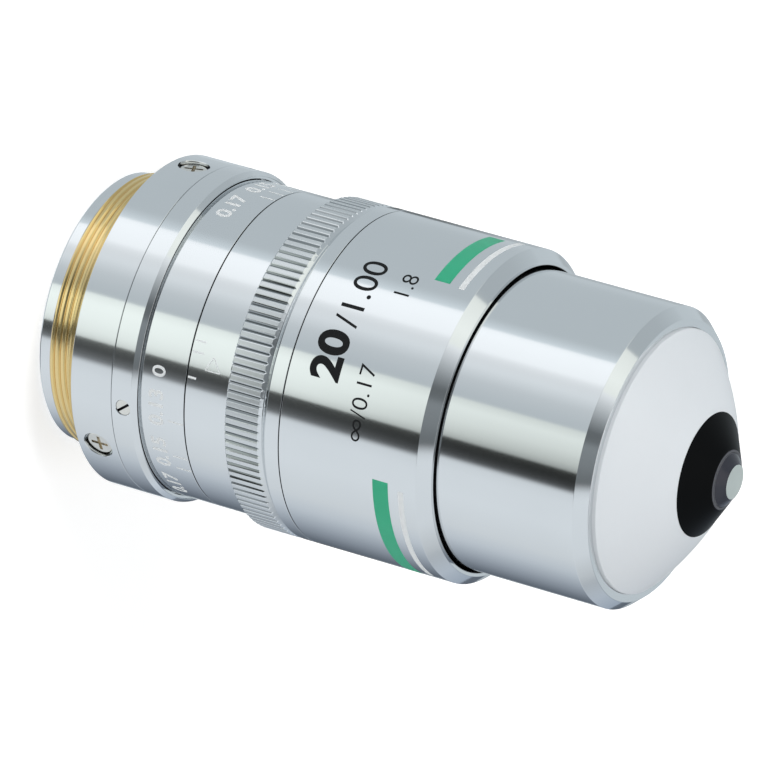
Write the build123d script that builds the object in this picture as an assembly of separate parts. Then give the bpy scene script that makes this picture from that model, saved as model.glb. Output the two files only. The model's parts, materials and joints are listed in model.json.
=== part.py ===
from build123d import *
import math
import os

# Microscope objective with a correction collar, a ceramic dipping nose and an M32 mounting thread.
# Millimetres. z = 0 is the mounting shoulder, +Z runs along the optical axis to the front lens,
# and the objective stands on the rear end of its thread. Azimuths are degrees about +Z from +X.

# Outer radii, and the steps of the slimmer rings and barrels below the widest one
BARREL_R = 19.25
SCALE_STEP = 0.9
NOSE_STEP = 1.99
THREAD_R = 16.0

# Fits, each a gap between mating walls
THREAD_FIT = 0.03
SLIDE_FIT = 0.04
TURN_FIT = 0.05
LENS_FIT = 0.03
CEMENT = 0.03
RUN_GAP = 0.12
LINE_GAP = 0.12

# Broken edges, and how far a cutter runs past the wall that it cuts
EDGE_BREAK = 0.25
CUT_PAST = 1.0

# Mounting ring
THREAD_LENGTH = 2.65
PILOT_LENGTH = 1.49
PILOT_STEP = 0.31
RELIEF_LENGTH = 0.38
RELIEF_DEPTH = 0.55
MOUNT_BORE_STEP = 0.77
MOUNT_STEP_Z = 0.48
SPIGOT_WALL = 1.83
SPIGOT_LENGTH = 6.74
PARFOCAL_SPACER_LENGTH = 0.48

# Rear housing, with its shoulder face, the relief inside it and the conical edge round it
HOUSING_LENGTH = 7.26
SHOULDER_FACE_WIDTH = 0.73
SHOULDER_RELIEF_GAP = 0.12
SHOULDER_RELIEF_DEPTH = 0.29
SHOULDER_CHAMFER_LENGTH = 2.02

# Cross-recessed screws in the rear housing
SCREW_COUNT = 3
HOUSING_SCREW_Z = 4.65
HOUSING_SCREW_AZIMUTH = -36.6
HOUSING_SCREW_R = 0.96
HOUSING_HEAD_R = 1.59
HOUSING_HEAD_LENGTH = 0.87
HEAD_SINK = 0.39
HEAD_EDGE_ROUND = 0.21
COUNTERBORE_R = 1.81
SCREW_BITE = 1.54
RECESS_ARM = 1.06
RECESS_WIDTH = 0.4
RECESS_DEPTH = 0.48
DRIVER_TURN_STEP = 12.0

# Lock ring behind the scale, with its slotted set screws
LOCK_RING_LENGTH = 3.18
LOCK_CHAMFER_LENGTH = 0.63
LOCK_LIP_GAP = 0.39
LOCK_LIP_LENGTH = 0.87
LOCK_WEB_LENGTH = 0.67
SET_SCREW_R = 0.91
SET_SCREW_AZIMUTH = -56.5
SET_SCREW_SINK = 0.14
SET_SLOT_WIDTH = 0.31
SET_SLOT_DEPTH = 0.48
SET_SLOT_TURN = 38.0

# Scale ring
SCALE_LENGTH = 6.22
SCALE_REAR_LAP = 0.53
SCALE_SKIRT_WALL = 1.16
SCALE_LIP_LENGTH = 0.54
SCALE_EDGE = 0.29

# Main tube, which everything is built on
TUBE_INSET = 6.74
TUBE_WALL = 1.73
REAR_BORE_STEP = 0.39
REAR_BORE_LENGTH = 12.03
TUBE_FLANGE_WALL = 3.47
TUBE_LIP_LENGTH = 0.96
TUBE_LIP_DEPTH = 1.25

# Correction collar: a lettered band and a straight-ridged grip
COLLAR_BAND_LENGTH = 5.66
GRIP_LENGTH = 4.26
GRIP_BEVEL_LENGTH = 0.67
GRIP_BEVEL_DROP = 0.6
GRIP_REAR_BEVEL = 0.21
RIDGE_COUNT = 120
RIDGE_DEPTH = 0.33
RIDGE_CREST_SHARE = 0.46
COLLAR_WALL = 1.54
COLLAR_WEB_START = 3.47
COLLAR_WEB_LENGTH = 3.56

# Cam ring inside the collar, with its helical slot
CAM_WALL = 1.64
CAM_FLANGE_LENGTH = 1.35
CAM_FLANGE_GAP = 0.2
CAM_TURN_LIMIT = 40.0
CAM_LEAD = 10.0
CAM_AZIMUTH = -90.0
COLLAR_SCREW_R = 0.67
COLLAR_SCREW_HEAD_R = 1.16
COLLAR_SCREW_HEAD_LENGTH = 0.67
COLLAR_SCREW_SLOT_WIDTH = 0.29
COLLAR_SCREW_BITE = 2.12

# Follower pin and its roller
PIN_R = 1.0
ROLLER_R = 1.5
PIN_SINK = 0.14
PIN_ROOT = 1.73
PIN_FROM_CAM_END = 3.63
SLOT_MARGIN = 0.1

# Correction lens group, which slides in the main tube
CORRECTION_CELL_LENGTH = 7.12
CORRECTION_CELL_WALL = 2.12
CORRECTION_CROWN_EDGE = 2.12
CORRECTION_FLINT_EDGE = 1.54
CORRECTION_RETAINER_LENGTH = 1.35
CORRECTION_REAR_BULGE = 0.48
CORRECTION_JOINT_BULGE = 1.06
CORRECTION_FRONT_HOLLOW = 0.29

# Ring that keeps the collar on, with the front barrels ahead of it
RETAINER_LENGTH = 1.93
RETAINER_EDGE = 0.24
RETAINER_HUB_WALL = 1.25
RETAINER_HUB_LENGTH = 0.29
OUTER_BARREL_LENGTH = 18.74
OUTER_BARREL_WALL = 1.23
OUTER_CHAMFER_LENGTH = 1.33
OUTER_WEB_LENGTH = 2.02
NOSE_WEB_LENGTH = 2.89
NOSE_WALL = 1.44
NOSE_BARREL_LENGTH = 35.25
NOSE_CHAMFER_LENGTH = 1.34
NOSE_CHAMFER_DROP = 1.18
NOSE_RIM_WIDTH = 0.94
NOSE_SEAT_DEPTH = 4.67
NOSE_SEAT_LIP_LENGTH = 1.44
NOSE_SEAT_LIP_WIDTH = 0.58

# Ceramic nose cone
CERAMIC_CONE_LENGTH = 6.02
CERAMIC_TIP_R = 7.17
CERAMIC_SKIRT_WALL = 1.83
CERAMIC_WALL = 2.31
CERAMIC_END_WALL = 1.4
SEAL_SECTION_R = 0.43
SEAL_GROOVE_INSET = 1.44

# Front lens mount, union ring and tip cell
UNION_WALL = 1.93
UNION_GAP = 0.19
UNION_GRIP_LENGTH = 3.37
UNION_LIP_LENGTH = 1.16
MOUNT_FLANGE_LENGTH = 1.73
MOUNT_NOSE_WALL = 0.96
MOUNT_NOSE_GAP = 0.19
MOUNT_TAPER_LENGTH = 1.54
MOUNT_TAPER_RISE = 1.42
MOUNT_PILOT_LENGTH = 1.15
TIP_SHANK_R = 5.68
TIP_SHANK_LENGTH = 5.78
TIP_CONE_LENGTH = 2.45
TIP_END_WALL = 0.24
TIP_LENS_R = 3.08
TIP_LENS_SEAT = 0.48

# Glass of the tip
FRONT_LENS_EDGE = 1.16
FRONT_LENS_TIP_LENGTH = 0.94
FRONT_LENS_TIP_R = 1.93
FRONT_LENS_BACK = 1.25
MENISCUS_R = 4.72
MENISCUS_EDGE = 1.54
MENISCUS_REAR_BULGE = 0.87
MENISCUS_FRONT_HOLLOW = 0.39

# Fixed lens groups in the main tube
LENS_SEAT = 0.96
CELL_LIP_LENGTH = 1.16
INNER_CELL_WALL = 1.73
INNER_CROWN_EDGE = 2.5
INNER_FLINT_EDGE = 2.7
INNER_REAR_BULGE = 0.58
INNER_JOINT_BULGE = 1.25
INNER_FRONT_BULGE = 0.39
INNER_SPACER_LENGTH = 2.89
MIDDLE_CELL_WALL = 2.12
MIDDLE_CROWN_EDGE = 2.31
MIDDLE_FLINT_EDGE = 2.5
MIDDLE_REAR_BULGE = 0.77
MIDDLE_JOINT_BULGE = 1.16
MIDDLE_FRONT_BULGE = 0.48
MIDDLE_SPACER_LENGTH = 2.5
FRONT_CELL_WALL = 2.5
FRONT_SINGLET_EDGE = 2.89
FRONT_SINGLET_REAR_BULGE = 0.96
FRONT_SINGLET_FRONT_HOLLOW = 0.39
REAR_CELL_WALL = 1.93
REAR_CROWN_EDGE = 2.21
REAR_FLINT_EDGE = 2.31
REAR_REAR_BULGE = 0.29
REAR_JOINT_BULGE = 1.16
REAR_FRONT_BULGE = 0.67
REAR_RETAINER_LENGTH = 1.54
SPANNER_SLOT_WIDTH = 1.16
SPANNER_SLOT_DEPTH = 0.77

# Places that follow from the sizes, from the rear forwards
REAR_Z = -(THREAD_LENGTH + PILOT_LENGTH + RELIEF_LENGTH)
SCALE_R = BARREL_R - SCALE_STEP
NOSE_R = BARREL_R - NOSE_STEP
SHOULDER_RELIEF_R = THREAD_R + SHOULDER_RELIEF_GAP
SHOULDER_R = SHOULDER_RELIEF_R + SHOULDER_FACE_WIDTH
TUBE_R = BARREL_R - TUBE_INSET
TUBE_BORE_R = TUBE_R - TUBE_WALL
REAR_BORE_R = TUBE_BORE_R + REAR_BORE_STEP
MOUNT_BORE_R = TUBE_BORE_R + MOUNT_BORE_STEP
TUBE_REAR_Z = MOUNT_STEP_Z + PARFOCAL_SPACER_LENGTH
SPIGOT_BORE_R = TUBE_R + THREAD_FIT
SPIGOT_R = SPIGOT_BORE_R + SPIGOT_WALL
FLANGE_R = TUBE_R + TUBE_FLANGE_WALL
LOCK_Z = HOUSING_LENGTH + LINE_GAP / 2
LOCK_FRONT_Z = LOCK_Z + LOCK_RING_LENGTH
SCALE_Z = LOCK_FRONT_Z - SCALE_REAR_LAP
SCALE_FRONT_Z = SCALE_Z + SCALE_LENGTH
SCALE_BORE_R = FLANGE_R + THREAD_FIT
SKIRT_R = SCALE_BORE_R + SCALE_SKIRT_WALL
FLANGE_FRONT_Z = SCALE_FRONT_Z - SCALE_LIP_LENGTH
CAM_BORE_R = TUBE_R + TURN_FIT
CAM_R = CAM_BORE_R + CAM_WALL
CAM_FLANGE_R = SCALE_R - COLLAR_WALL - CAM_FLANGE_GAP
CAM_REAR_Z = SCALE_FRONT_Z + RUN_GAP
CAM_PIN_Z = CAM_REAR_Z + PIN_FROM_CAM_END
COLLAR_Z = SCALE_FRONT_Z + RUN_GAP
GRIP_Z = COLLAR_Z + COLLAR_BAND_LENGTH
GRIP_FRONT_Z = GRIP_Z + GRIP_LENGTH
COLLAR_FRONT_Z = GRIP_FRONT_Z + GRIP_BEVEL_LENGTH
COLLAR_WEB_Z = COLLAR_Z + COLLAR_WEB_START
CAM_FLANGE_Z = COLLAR_WEB_Z + COLLAR_WEB_LENGTH
RETAINER_Z = COLLAR_FRONT_Z + RUN_GAP
RETAINER_HUB_Z = RETAINER_Z - RETAINER_HUB_LENGTH
RETAINER_FRONT_Z = RETAINER_Z + RETAINER_LENGTH
CAM_FRONT_Z = RETAINER_HUB_Z - RUN_GAP
OUTER_Z = RETAINER_FRONT_Z + LINE_GAP
OUTER_FRONT_Z = OUTER_Z + OUTER_BARREL_LENGTH
OUTER_BORE_R = BARREL_R - OUTER_BARREL_WALL
NOSE_Z = OUTER_Z + OUTER_WEB_LENGTH
NOSE_FRONT_Z = NOSE_Z + NOSE_BARREL_LENGTH
NOSE_RIM_R = NOSE_R - NOSE_CHAMFER_DROP
CERAMIC_BORE_R = NOSE_RIM_R - NOSE_RIM_WIDTH
CERAMIC_R = CERAMIC_BORE_R - THREAD_FIT
CERAMIC_SEAT_Z = NOSE_FRONT_Z - NOSE_SEAT_DEPTH
CERAMIC_FRONT_Z = NOSE_FRONT_Z + CERAMIC_CONE_LENGTH
CERAMIC_LAND_Z = CERAMIC_FRONT_Z - CERAMIC_WALL
UNION_FRONT_Z = CERAMIC_SEAT_Z - UNION_GAP
TUBE_FRONT_Z = UNION_FRONT_Z - UNION_LIP_LENGTH - MOUNT_FLANGE_LENGTH
MOUNT_NOSE_R = TIP_SHANK_R + THREAD_FIT + MOUNT_NOSE_WALL
MOUNT_NECK_R = MOUNT_NOSE_R + MOUNT_TAPER_RISE
STACK_CELL_R = TUBE_BORE_R - SLIDE_FIT
CORRECTION_LENS_R = TUBE_BORE_R - CORRECTION_CELL_WALL
INNER_LENS_R = TUBE_BORE_R - INNER_CELL_WALL
MIDDLE_LENS_R = TUBE_BORE_R - MIDDLE_CELL_WALL
FRONT_SINGLET_R = TUBE_BORE_R - FRONT_CELL_WALL
REAR_LENS_R = REAR_BORE_R - REAR_CELL_WALL

# The fixed front stack, from the lens mount back to the lip in the main tube
STACK_END_Z = TUBE_FRONT_Z - MOUNT_PILOT_LENGTH
FRONT_CELL_Z = STACK_END_Z - FRONT_SINGLET_EDGE - CELL_LIP_LENGTH
MIDDLE_SPACER_Z = FRONT_CELL_Z - MIDDLE_SPACER_LENGTH
MIDDLE_CELL_Z = MIDDLE_SPACER_Z - MIDDLE_FLINT_EDGE - CEMENT - MIDDLE_CROWN_EDGE - CELL_LIP_LENGTH
INNER_SPACER_Z = MIDDLE_CELL_Z - INNER_SPACER_LENGTH
INNER_CELL_Z = INNER_SPACER_Z - INNER_FLINT_EDGE - CEMENT - INNER_CROWN_EDGE - CELL_LIP_LENGTH
TUBE_LIP_Z = INNER_CELL_Z - TUBE_LIP_LENGTH
CAM_TRAVEL = CAM_LEAD * CAM_TURN_LIMIT / 360


def turned(outline):
    """A turned piece: a closed outline of (radius, z) corners revolved about the optical axis."""
    corners = [(r, 0, z) for r, z in outline]
    return revolve(make_face(Polyline(*corners, close=True)), Axis.Z)


def ring(inner_r, outer_r, z0, z1):
    """A plain ring between two radii and two heights."""
    return turned([(inner_r, z0), (outer_r, z0), (outer_r, z1), (inner_r, z1)])


def radial(z, azimuth):
    """A plane whose z axis points outwards from the optical axis, at a height and an azimuth."""
    return Plane(origin=(0, 0, z), x_dir=(0, 0, 1), z_dir=Vector(1, 0, 0).rotate(Axis.Z, azimuth))


def radial_rod(z, azimuth, rod_r, start, end):
    """A round rod or drill along a radius, from one distance off the optical axis to another."""
    return radial(z, azimuth) * Pos(0, 0, (start + end) / 2) * Cylinder(rod_r, end - start)


def azimuths(first, count):
    """Equally spaced azimuths, starting at the first one."""
    return [first + 360 * i / count for i in range(count)]


def lens(z0, z1, lens_r, rear_bulge, front_bulge):
    """A lens between two edge heights. A bulge above zero is convex and one below is hollow.

    The outer LENS_SEAT of each side is flat, which is where a cell or a ring holds it.
    """
    cap_r = lens_r - LENS_SEAT
    sides = [Line((cap_r, 0, z0), (lens_r, 0, z0)), Line((lens_r, 0, z0), (lens_r, 0, z1)),
             Line((lens_r, 0, z1), (cap_r, 0, z1))]
    top = cap_side(cap_r, z1, front_bulge)
    bottom = cap_side(cap_r, z0, -rear_bulge)
    core = Line((0, 0, z1 + front_bulge), (0, 0, z0 - rear_bulge))
    return revolve(make_face(sides + [top, core, bottom]), Axis.Z)


def cap_side(cap_r, z, rise):
    """Half of a lens surface: an arc from the seat's inner edge to the axis."""
    sphere_r = (cap_r ** 2 + rise ** 2) / (2 * abs(rise))
    half = math.asin(cap_r / sphere_r) / 2
    drop = sphere_r * (1 - math.cos(half)) * math.copysign(1, rise)
    middle = (sphere_r * math.sin(half), 0, z + rise - drop)
    return ThreePointArc((cap_r, 0, z), middle, (0, 0, z + rise))


def cell(z0, z1, outer_r, lens_r):
    """A lens cell: a tube with a lip behind the lens, and a small lead-in at both outer edges."""
    lip_z = z0 + CELL_LIP_LENGTH
    edge = EDGE_BREAK
    return turned([(lens_r - LENS_SEAT, z0), (outer_r - edge, z0), (outer_r, z0 + edge),
                   (outer_r, z1 - edge), (outer_r - edge, z1), (lens_r + LENS_FIT, z1),
                   (lens_r + LENS_FIT, lip_z), (lens_r - LENS_SEAT, lip_z)])


def mount_ring():
    """Threaded ring: pilot band, thread over its crests, undercut, and a spigot in the housing."""
    pilot_r = THREAD_R - PILOT_STEP
    thread_z = REAR_Z + PILOT_LENGTH
    relief_r = THREAD_R - RELIEF_DEPTH
    edge = EDGE_BREAK
    body = turned([(MOUNT_BORE_R + edge, REAR_Z), (pilot_r - edge, REAR_Z), (pilot_r, REAR_Z + edge),
                   (pilot_r, thread_z), (THREAD_R, thread_z), (THREAD_R, -RELIEF_LENGTH),
                   (relief_r, -RELIEF_LENGTH), (relief_r, SHOULDER_RELIEF_DEPTH),
                   (SPIGOT_R, SHOULDER_RELIEF_DEPTH), (SPIGOT_R, SPIGOT_LENGTH),
                   (SPIGOT_BORE_R, SPIGOT_LENGTH), (SPIGOT_BORE_R, MOUNT_STEP_Z),
                   (MOUNT_BORE_R, MOUNT_STEP_Z), (MOUNT_BORE_R, REAR_Z + edge)])
    for azimuth in azimuths(HOUSING_SCREW_AZIMUTH, SCREW_COUNT):
        body -= radial_rod(HOUSING_SCREW_Z, azimuth, HOUSING_SCREW_R + THREAD_FIT,
                           TUBE_R, SPIGOT_R + CUT_PAST)
    return body


def parfocal_spacer():
    """Thin ring between the mounting ring's step and the main tube, ground to set the focus."""
    return ring(REAR_BORE_R, TUBE_R, MOUNT_STEP_Z, TUBE_REAR_Z)


def rear_housing():
    """Outer ring with the mounting shoulder, drilled and counterbored for its three screws."""
    bore_r = SPIGOT_R + THREAD_FIT
    body = turned([(bore_r, SHOULDER_RELIEF_DEPTH), (SHOULDER_RELIEF_R, SHOULDER_RELIEF_DEPTH),
                   (SHOULDER_RELIEF_R, 0), (SHOULDER_R, 0), (BARREL_R, SHOULDER_CHAMFER_LENGTH),
                   (BARREL_R, HOUSING_LENGTH), (bore_r, HOUSING_LENGTH)])
    for azimuth in azimuths(HOUSING_SCREW_AZIMUTH, SCREW_COUNT):
        body -= radial_rod(HOUSING_SCREW_Z, azimuth, HOUSING_SCREW_R + THREAD_FIT,
                           SPIGOT_R, BARREL_R + CUT_PAST)
        body -= radial_rod(HOUSING_SCREW_Z, azimuth, COUNTERBORE_R, head_seat_r(), BARREL_R + CUT_PAST)
    return body


def head_seat_r():
    """Distance from the optical axis to the floor of a housing counterbore."""
    return BARREL_R - HEAD_SINK - HOUSING_HEAD_LENGTH


def housing_screw(azimuth, driver_turn):
    """Cross-recessed screw whose round-edged head lies just under the housing's surface."""
    seat = head_seat_r()
    tip = SPIGOT_R - SCREW_BITE
    head = Pos(0, 0, seat + HOUSING_HEAD_LENGTH / 2) * Cylinder(HOUSING_HEAD_R, HOUSING_HEAD_LENGTH)
    head = fillet(head.edges().sort_by(Axis.Z)[-1], HEAD_EDGE_ROUND)
    shank = Pos(0, 0, (tip + seat) / 2) * Cylinder(HOUSING_SCREW_R, seat - tip)
    top = seat + HOUSING_HEAD_LENGTH
    cross = Box(2 * RECESS_ARM, RECESS_WIDTH, RECESS_DEPTH) + Box(RECESS_WIDTH, 2 * RECESS_ARM, RECESS_DEPTH)
    screw = head + shank - Pos(0, 0, top - RECESS_DEPTH / 2) * Rot(0, 0, driver_turn) * cross
    return radial(HOUSING_SCREW_Z, azimuth) * screw


def housing_screws():
    """The three screws that hold the rear housing on the mounting ring."""
    turns = [DRIVER_TURN_STEP * i for i in range(SCREW_COUNT)]
    places = azimuths(HOUSING_SCREW_AZIMUTH, SCREW_COUNT)
    return [housing_screw(azimuth, turn) for azimuth, turn in zip(places, turns)]


def lock_bore_r():
    """Bore of the lock ring over the scale ring's skirt."""
    return SKIRT_R + THREAD_FIT


def set_screw_z():
    """Height of the set screws: half way along the stretch where the lock ring covers the skirt."""
    return (LOCK_Z + LOCK_WEB_LENGTH + LOCK_FRONT_Z - LOCK_LIP_LENGTH) / 2


def rear_lock_ring():
    """Ring screwed on the tube's flange, with a wide front lip that stands clear of the scale."""
    lip_r = SCALE_R + LOCK_LIP_GAP
    web_z = LOCK_Z + LOCK_WEB_LENGTH
    lip_z = LOCK_FRONT_Z - LOCK_LIP_LENGTH
    chamfer_z = LOCK_FRONT_Z - LOCK_CHAMFER_LENGTH
    body = turned([(SCALE_BORE_R, LOCK_Z), (BARREL_R, LOCK_Z), (BARREL_R, chamfer_z),
                   (lip_r, LOCK_FRONT_Z), (lip_r, lip_z), (lock_bore_r(), lip_z),
                   (lock_bore_r(), web_z), (SCALE_BORE_R, web_z)])
    for azimuth in azimuths(SET_SCREW_AZIMUTH, SCREW_COUNT):
        body -= radial_rod(set_screw_z(), azimuth, SET_SCREW_R + THREAD_FIT,
                           SKIRT_R - CUT_PAST, BARREL_R + CUT_PAST)
    return body


def lock_set_screws():
    """Three slotted set screws that bear on the scale ring's skirt and hold its zero."""
    start = SKIRT_R
    end = BARREL_R - SET_SCREW_SINK
    screws = []
    for azimuth in azimuths(SET_SCREW_AZIMUTH, SCREW_COUNT):
        body = Pos(0, 0, (start + end) / 2) * Cylinder(SET_SCREW_R, end - start)
        slot = Box(2 * (SET_SCREW_R + CUT_PAST), SET_SLOT_WIDTH, 2 * SET_SLOT_DEPTH)
        body -= Pos(0, 0, end) * Rot(0, 0, SET_SLOT_TURN) * slot
        screws.append(radial(set_screw_z(), azimuth) * body)
    return screws


def scale_ring():
    """Graduated ring: a skirt under the lock ring, a lettered band, and a lip on the flange."""
    skirt_z = LOCK_Z + LOCK_WEB_LENGTH + RUN_GAP
    lip_r = CAM_BORE_R
    return turned([(SCALE_BORE_R, skirt_z), (SKIRT_R, skirt_z), (SKIRT_R, SCALE_Z),
                   (SCALE_R - SCALE_EDGE, SCALE_Z), (SCALE_R, SCALE_Z + SCALE_EDGE),
                   (SCALE_R, SCALE_FRONT_Z), (lip_r, SCALE_FRONT_Z), (lip_r, FLANGE_FRONT_Z),
                   (SCALE_BORE_R, FLANGE_FRONT_Z)])


def main_tube():
    """Fixed inner tube: flange for the scale, lips for the lenses and a straight slot for the pin."""
    step_z = TUBE_REAR_Z + REAR_BORE_LENGTH
    lip_r = TUBE_BORE_R - TUBE_LIP_DEPTH
    body = turned([(REAR_BORE_R, TUBE_REAR_Z), (TUBE_R, TUBE_REAR_Z), (TUBE_R, HOUSING_LENGTH),
                   (FLANGE_R, HOUSING_LENGTH), (FLANGE_R, FLANGE_FRONT_Z), (TUBE_R, FLANGE_FRONT_Z),
                   (TUBE_R, TUBE_FRONT_Z), (TUBE_BORE_R, TUBE_FRONT_Z), (TUBE_BORE_R, INNER_CELL_Z),
                   (lip_r, INNER_CELL_Z), (lip_r, TUBE_LIP_Z), (TUBE_BORE_R, TUBE_LIP_Z),
                   (TUBE_BORE_R, step_z), (REAR_BORE_R, step_z)])
    slot_r = PIN_R + SLIDE_FIT
    reach = CAM_TRAVEL + SLOT_MARGIN
    low = radial_rod(CAM_PIN_Z - reach, CAM_AZIMUTH, slot_r, TUBE_BORE_R - CUT_PAST, TUBE_R + CUT_PAST)
    high = radial_rod(CAM_PIN_Z + reach, CAM_AZIMUTH, slot_r, TUBE_BORE_R - CUT_PAST, TUBE_R + CUT_PAST)
    depth = TUBE_WALL + 2 * CUT_PAST
    middle = Pos(0, 0, TUBE_BORE_R + TUBE_WALL / 2) * Box(2 * reach, 2 * slot_r, depth)
    return body - low - high - radial(CAM_PIN_Z, CAM_AZIMUTH) * middle


def grip():
    """Straight-ridged grip: a toothed bar trimmed by a bevelled ring, so each ridge ends in a point."""
    pitch = 2 * math.pi / RIDGE_COUNT
    half_crest = pitch * RIDGE_CREST_SHARE / 2
    root_r = BARREL_R - RIDGE_DEPTH
    outline = []
    for i in range(RIDGE_COUNT):
        for angle, r in ((-half_crest, BARREL_R), (half_crest, BARREL_R), (pitch / 2, root_r)):
            outline.append((r * math.cos(i * pitch + angle), r * math.sin(i * pitch + angle)))
    bar = extrude(make_face(Polyline(*outline, close=True)), COLLAR_FRONT_Z - GRIP_Z)
    bevelled = turned([(SCALE_R - COLLAR_WALL / 2, GRIP_Z), (BARREL_R - GRIP_REAR_BEVEL, GRIP_Z),
                       (BARREL_R, GRIP_Z + GRIP_REAR_BEVEL), (BARREL_R, GRIP_FRONT_Z),
                       (BARREL_R - GRIP_BEVEL_DROP, COLLAR_FRONT_Z),
                       (SCALE_R - COLLAR_WALL / 2, COLLAR_FRONT_Z)])
    return Pos(0, 0, GRIP_Z) * bar & bevelled


def correction_collar():
    """Collar turned by hand: lettered band, grip, and an inner web that sits on the cam ring."""
    bore_r = SCALE_R - COLLAR_WALL
    web_r = CAM_R + THREAD_FIT
    body = turned([(bore_r, COLLAR_Z), (SCALE_R, COLLAR_Z), (SCALE_R, COLLAR_FRONT_Z),
                   (bore_r, COLLAR_FRONT_Z), (bore_r, CAM_FLANGE_Z), (web_r, CAM_FLANGE_Z),
                   (web_r, COLLAR_WEB_Z), (bore_r, COLLAR_WEB_Z)])
    body += grip()
    for place in collar_screw_places():
        hole = Cylinder(COLLAR_SCREW_R + THREAD_FIT, COLLAR_SCREW_BITE)
        body -= place * Pos(0, 0, -COLLAR_SCREW_BITE / 2) * hole
    return body


def collar_screw_places():
    """Where the three collar screws enter the web, in the middle of the cam ring's flange."""
    circle_r = (CAM_R + CAM_FLANGE_R) / 2
    return [Rot(0, 0, azimuth) * Pos(circle_r, 0, CAM_FLANGE_Z)
            for azimuth in azimuths(CAM_AZIMUTH, SCREW_COUNT)]


def cam_slot():
    """Cutter for the helical slot: a radial bar swept along the helix that the roller follows."""
    width = 2 * (ROLLER_R + SLIDE_FIT)
    depth = CAM_WALL + 2 * CUT_PAST
    middle_r = CAM_BORE_R + CAM_WALL / 2
    turn = 2 * CAM_TURN_LIMIT
    path = Helix(CAM_LEAD, CAM_LEAD * turn / 360, middle_r)
    start = Plane(origin=path @ 0, x_dir=(1, 0, 0), z_dir=path % 0)
    bar = sweep(start * Rectangle(depth, width), path, is_frenet=True)
    low = Pos(0, 0, CAM_PIN_Z - CAM_TRAVEL) * bar
    return Rot(0, 0, CAM_AZIMUTH - CAM_TURN_LIMIT) * low


def cam_ring():
    """Ring that turns on the main tube and drives the lens group through its helical slot."""
    flange_end = CAM_FLANGE_Z + CAM_FLANGE_LENGTH
    body = turned([(CAM_BORE_R, CAM_REAR_Z), (CAM_R, CAM_REAR_Z), (CAM_R, CAM_FLANGE_Z),
                   (CAM_FLANGE_R, CAM_FLANGE_Z), (CAM_FLANGE_R, flange_end), (CAM_R, flange_end),
                   (CAM_R, CAM_FRONT_Z), (CAM_BORE_R, CAM_FRONT_Z)])
    body -= cam_slot()
    slot_r = ROLLER_R + SLIDE_FIT
    for side in (-1, 1):
        z = CAM_PIN_Z + side * CAM_TRAVEL
        azimuth = CAM_AZIMUTH + side * CAM_TURN_LIMIT
        body -= radial_rod(z, azimuth, slot_r, CAM_BORE_R - CUT_PAST, CAM_R + CUT_PAST)
    for place in collar_screw_places():
        hole = Cylinder(COLLAR_SCREW_R + THREAD_FIT, CAM_FLANGE_LENGTH)
        body -= place * Pos(0, 0, CAM_FLANGE_LENGTH / 2) * hole
    return body


def collar_screws():
    """Three cheese-head screws that clamp the cam ring's flange to the collar's web."""
    screws = []
    bite = COLLAR_SCREW_BITE
    shank_length = CAM_FLANGE_LENGTH + bite
    for place in collar_screw_places():
        shank = Pos(0, 0, shank_length / 2 - bite) * Cylinder(COLLAR_SCREW_R, shank_length)
        head_z = CAM_FLANGE_LENGTH + COLLAR_SCREW_HEAD_LENGTH / 2
        head = Pos(0, 0, head_z) * Cylinder(COLLAR_SCREW_HEAD_R, COLLAR_SCREW_HEAD_LENGTH)
        slot_z = CAM_FLANGE_LENGTH + COLLAR_SCREW_HEAD_LENGTH
        slot = Box(2 * (COLLAR_SCREW_HEAD_R + CUT_PAST), COLLAR_SCREW_SLOT_WIDTH, COLLAR_SCREW_HEAD_LENGTH)
        screws.append(place * (shank + head - Pos(0, 0, slot_z) * slot))
    return screws


def correction_bounds():
    """Rear and front heights of the sliding cell at rest, with the pin at its middle."""
    half = CORRECTION_CELL_LENGTH / 2
    return CAM_PIN_Z - half, CAM_PIN_Z + half


def correction_cell():
    """Cell of the sliding lens group, drilled for the follower pin."""
    z0, z1 = correction_bounds()
    body = cell(z0, z1, STACK_CELL_R, CORRECTION_LENS_R)
    return body - radial_rod(CAM_PIN_Z, CAM_AZIMUTH, PIN_R + THREAD_FIT, pin_root_r(), TUBE_R)


def pin_root_r():
    """Distance from the optical axis to the inner end of the follower pin."""
    return STACK_CELL_R - PIN_ROOT


def correction_crown():
    """Convex half of the sliding doublet, seated on the cell's lip."""
    z0 = correction_bounds()[0] + CELL_LIP_LENGTH
    return lens(z0, z0 + CORRECTION_CROWN_EDGE, CORRECTION_LENS_R,
                CORRECTION_REAR_BULGE, CORRECTION_JOINT_BULGE)


def correction_flint():
    """Hollow half of the sliding doublet, cemented to the crown."""
    z0 = correction_bounds()[0] + CELL_LIP_LENGTH + CORRECTION_CROWN_EDGE + CEMENT
    return lens(z0, z0 + CORRECTION_FLINT_EDGE, CORRECTION_LENS_R,
                -CORRECTION_JOINT_BULGE, -CORRECTION_FRONT_HOLLOW)


def correction_retainer():
    """Threaded ring that holds the sliding doublet in its cell, with two spanner slots."""
    z0 = correction_bounds()[0] + CELL_LIP_LENGTH + CORRECTION_CROWN_EDGE + CEMENT + CORRECTION_FLINT_EDGE
    z1 = z0 + CORRECTION_RETAINER_LENGTH
    body = ring(CORRECTION_LENS_R - LENS_SEAT, CORRECTION_LENS_R, z0, z1)
    return body - spanner_slots(CORRECTION_LENS_R, z1)


def spanner_slots(outer_r, face_z):
    """A slot across a retaining ring's face, which leaves a notch in each side for the spanner."""
    bar = Box(2 * (outer_r + CUT_PAST), SPANNER_SLOT_WIDTH, 2 * SPANNER_SLOT_DEPTH)
    return Pos(0, 0, face_z) * bar


def cam_pin():
    """Follower pin, screwed into the sliding cell and reaching through both slots."""
    return radial_rod(CAM_PIN_Z, CAM_AZIMUTH, PIN_R, pin_root_r(), CAM_R - PIN_SINK)


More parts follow.
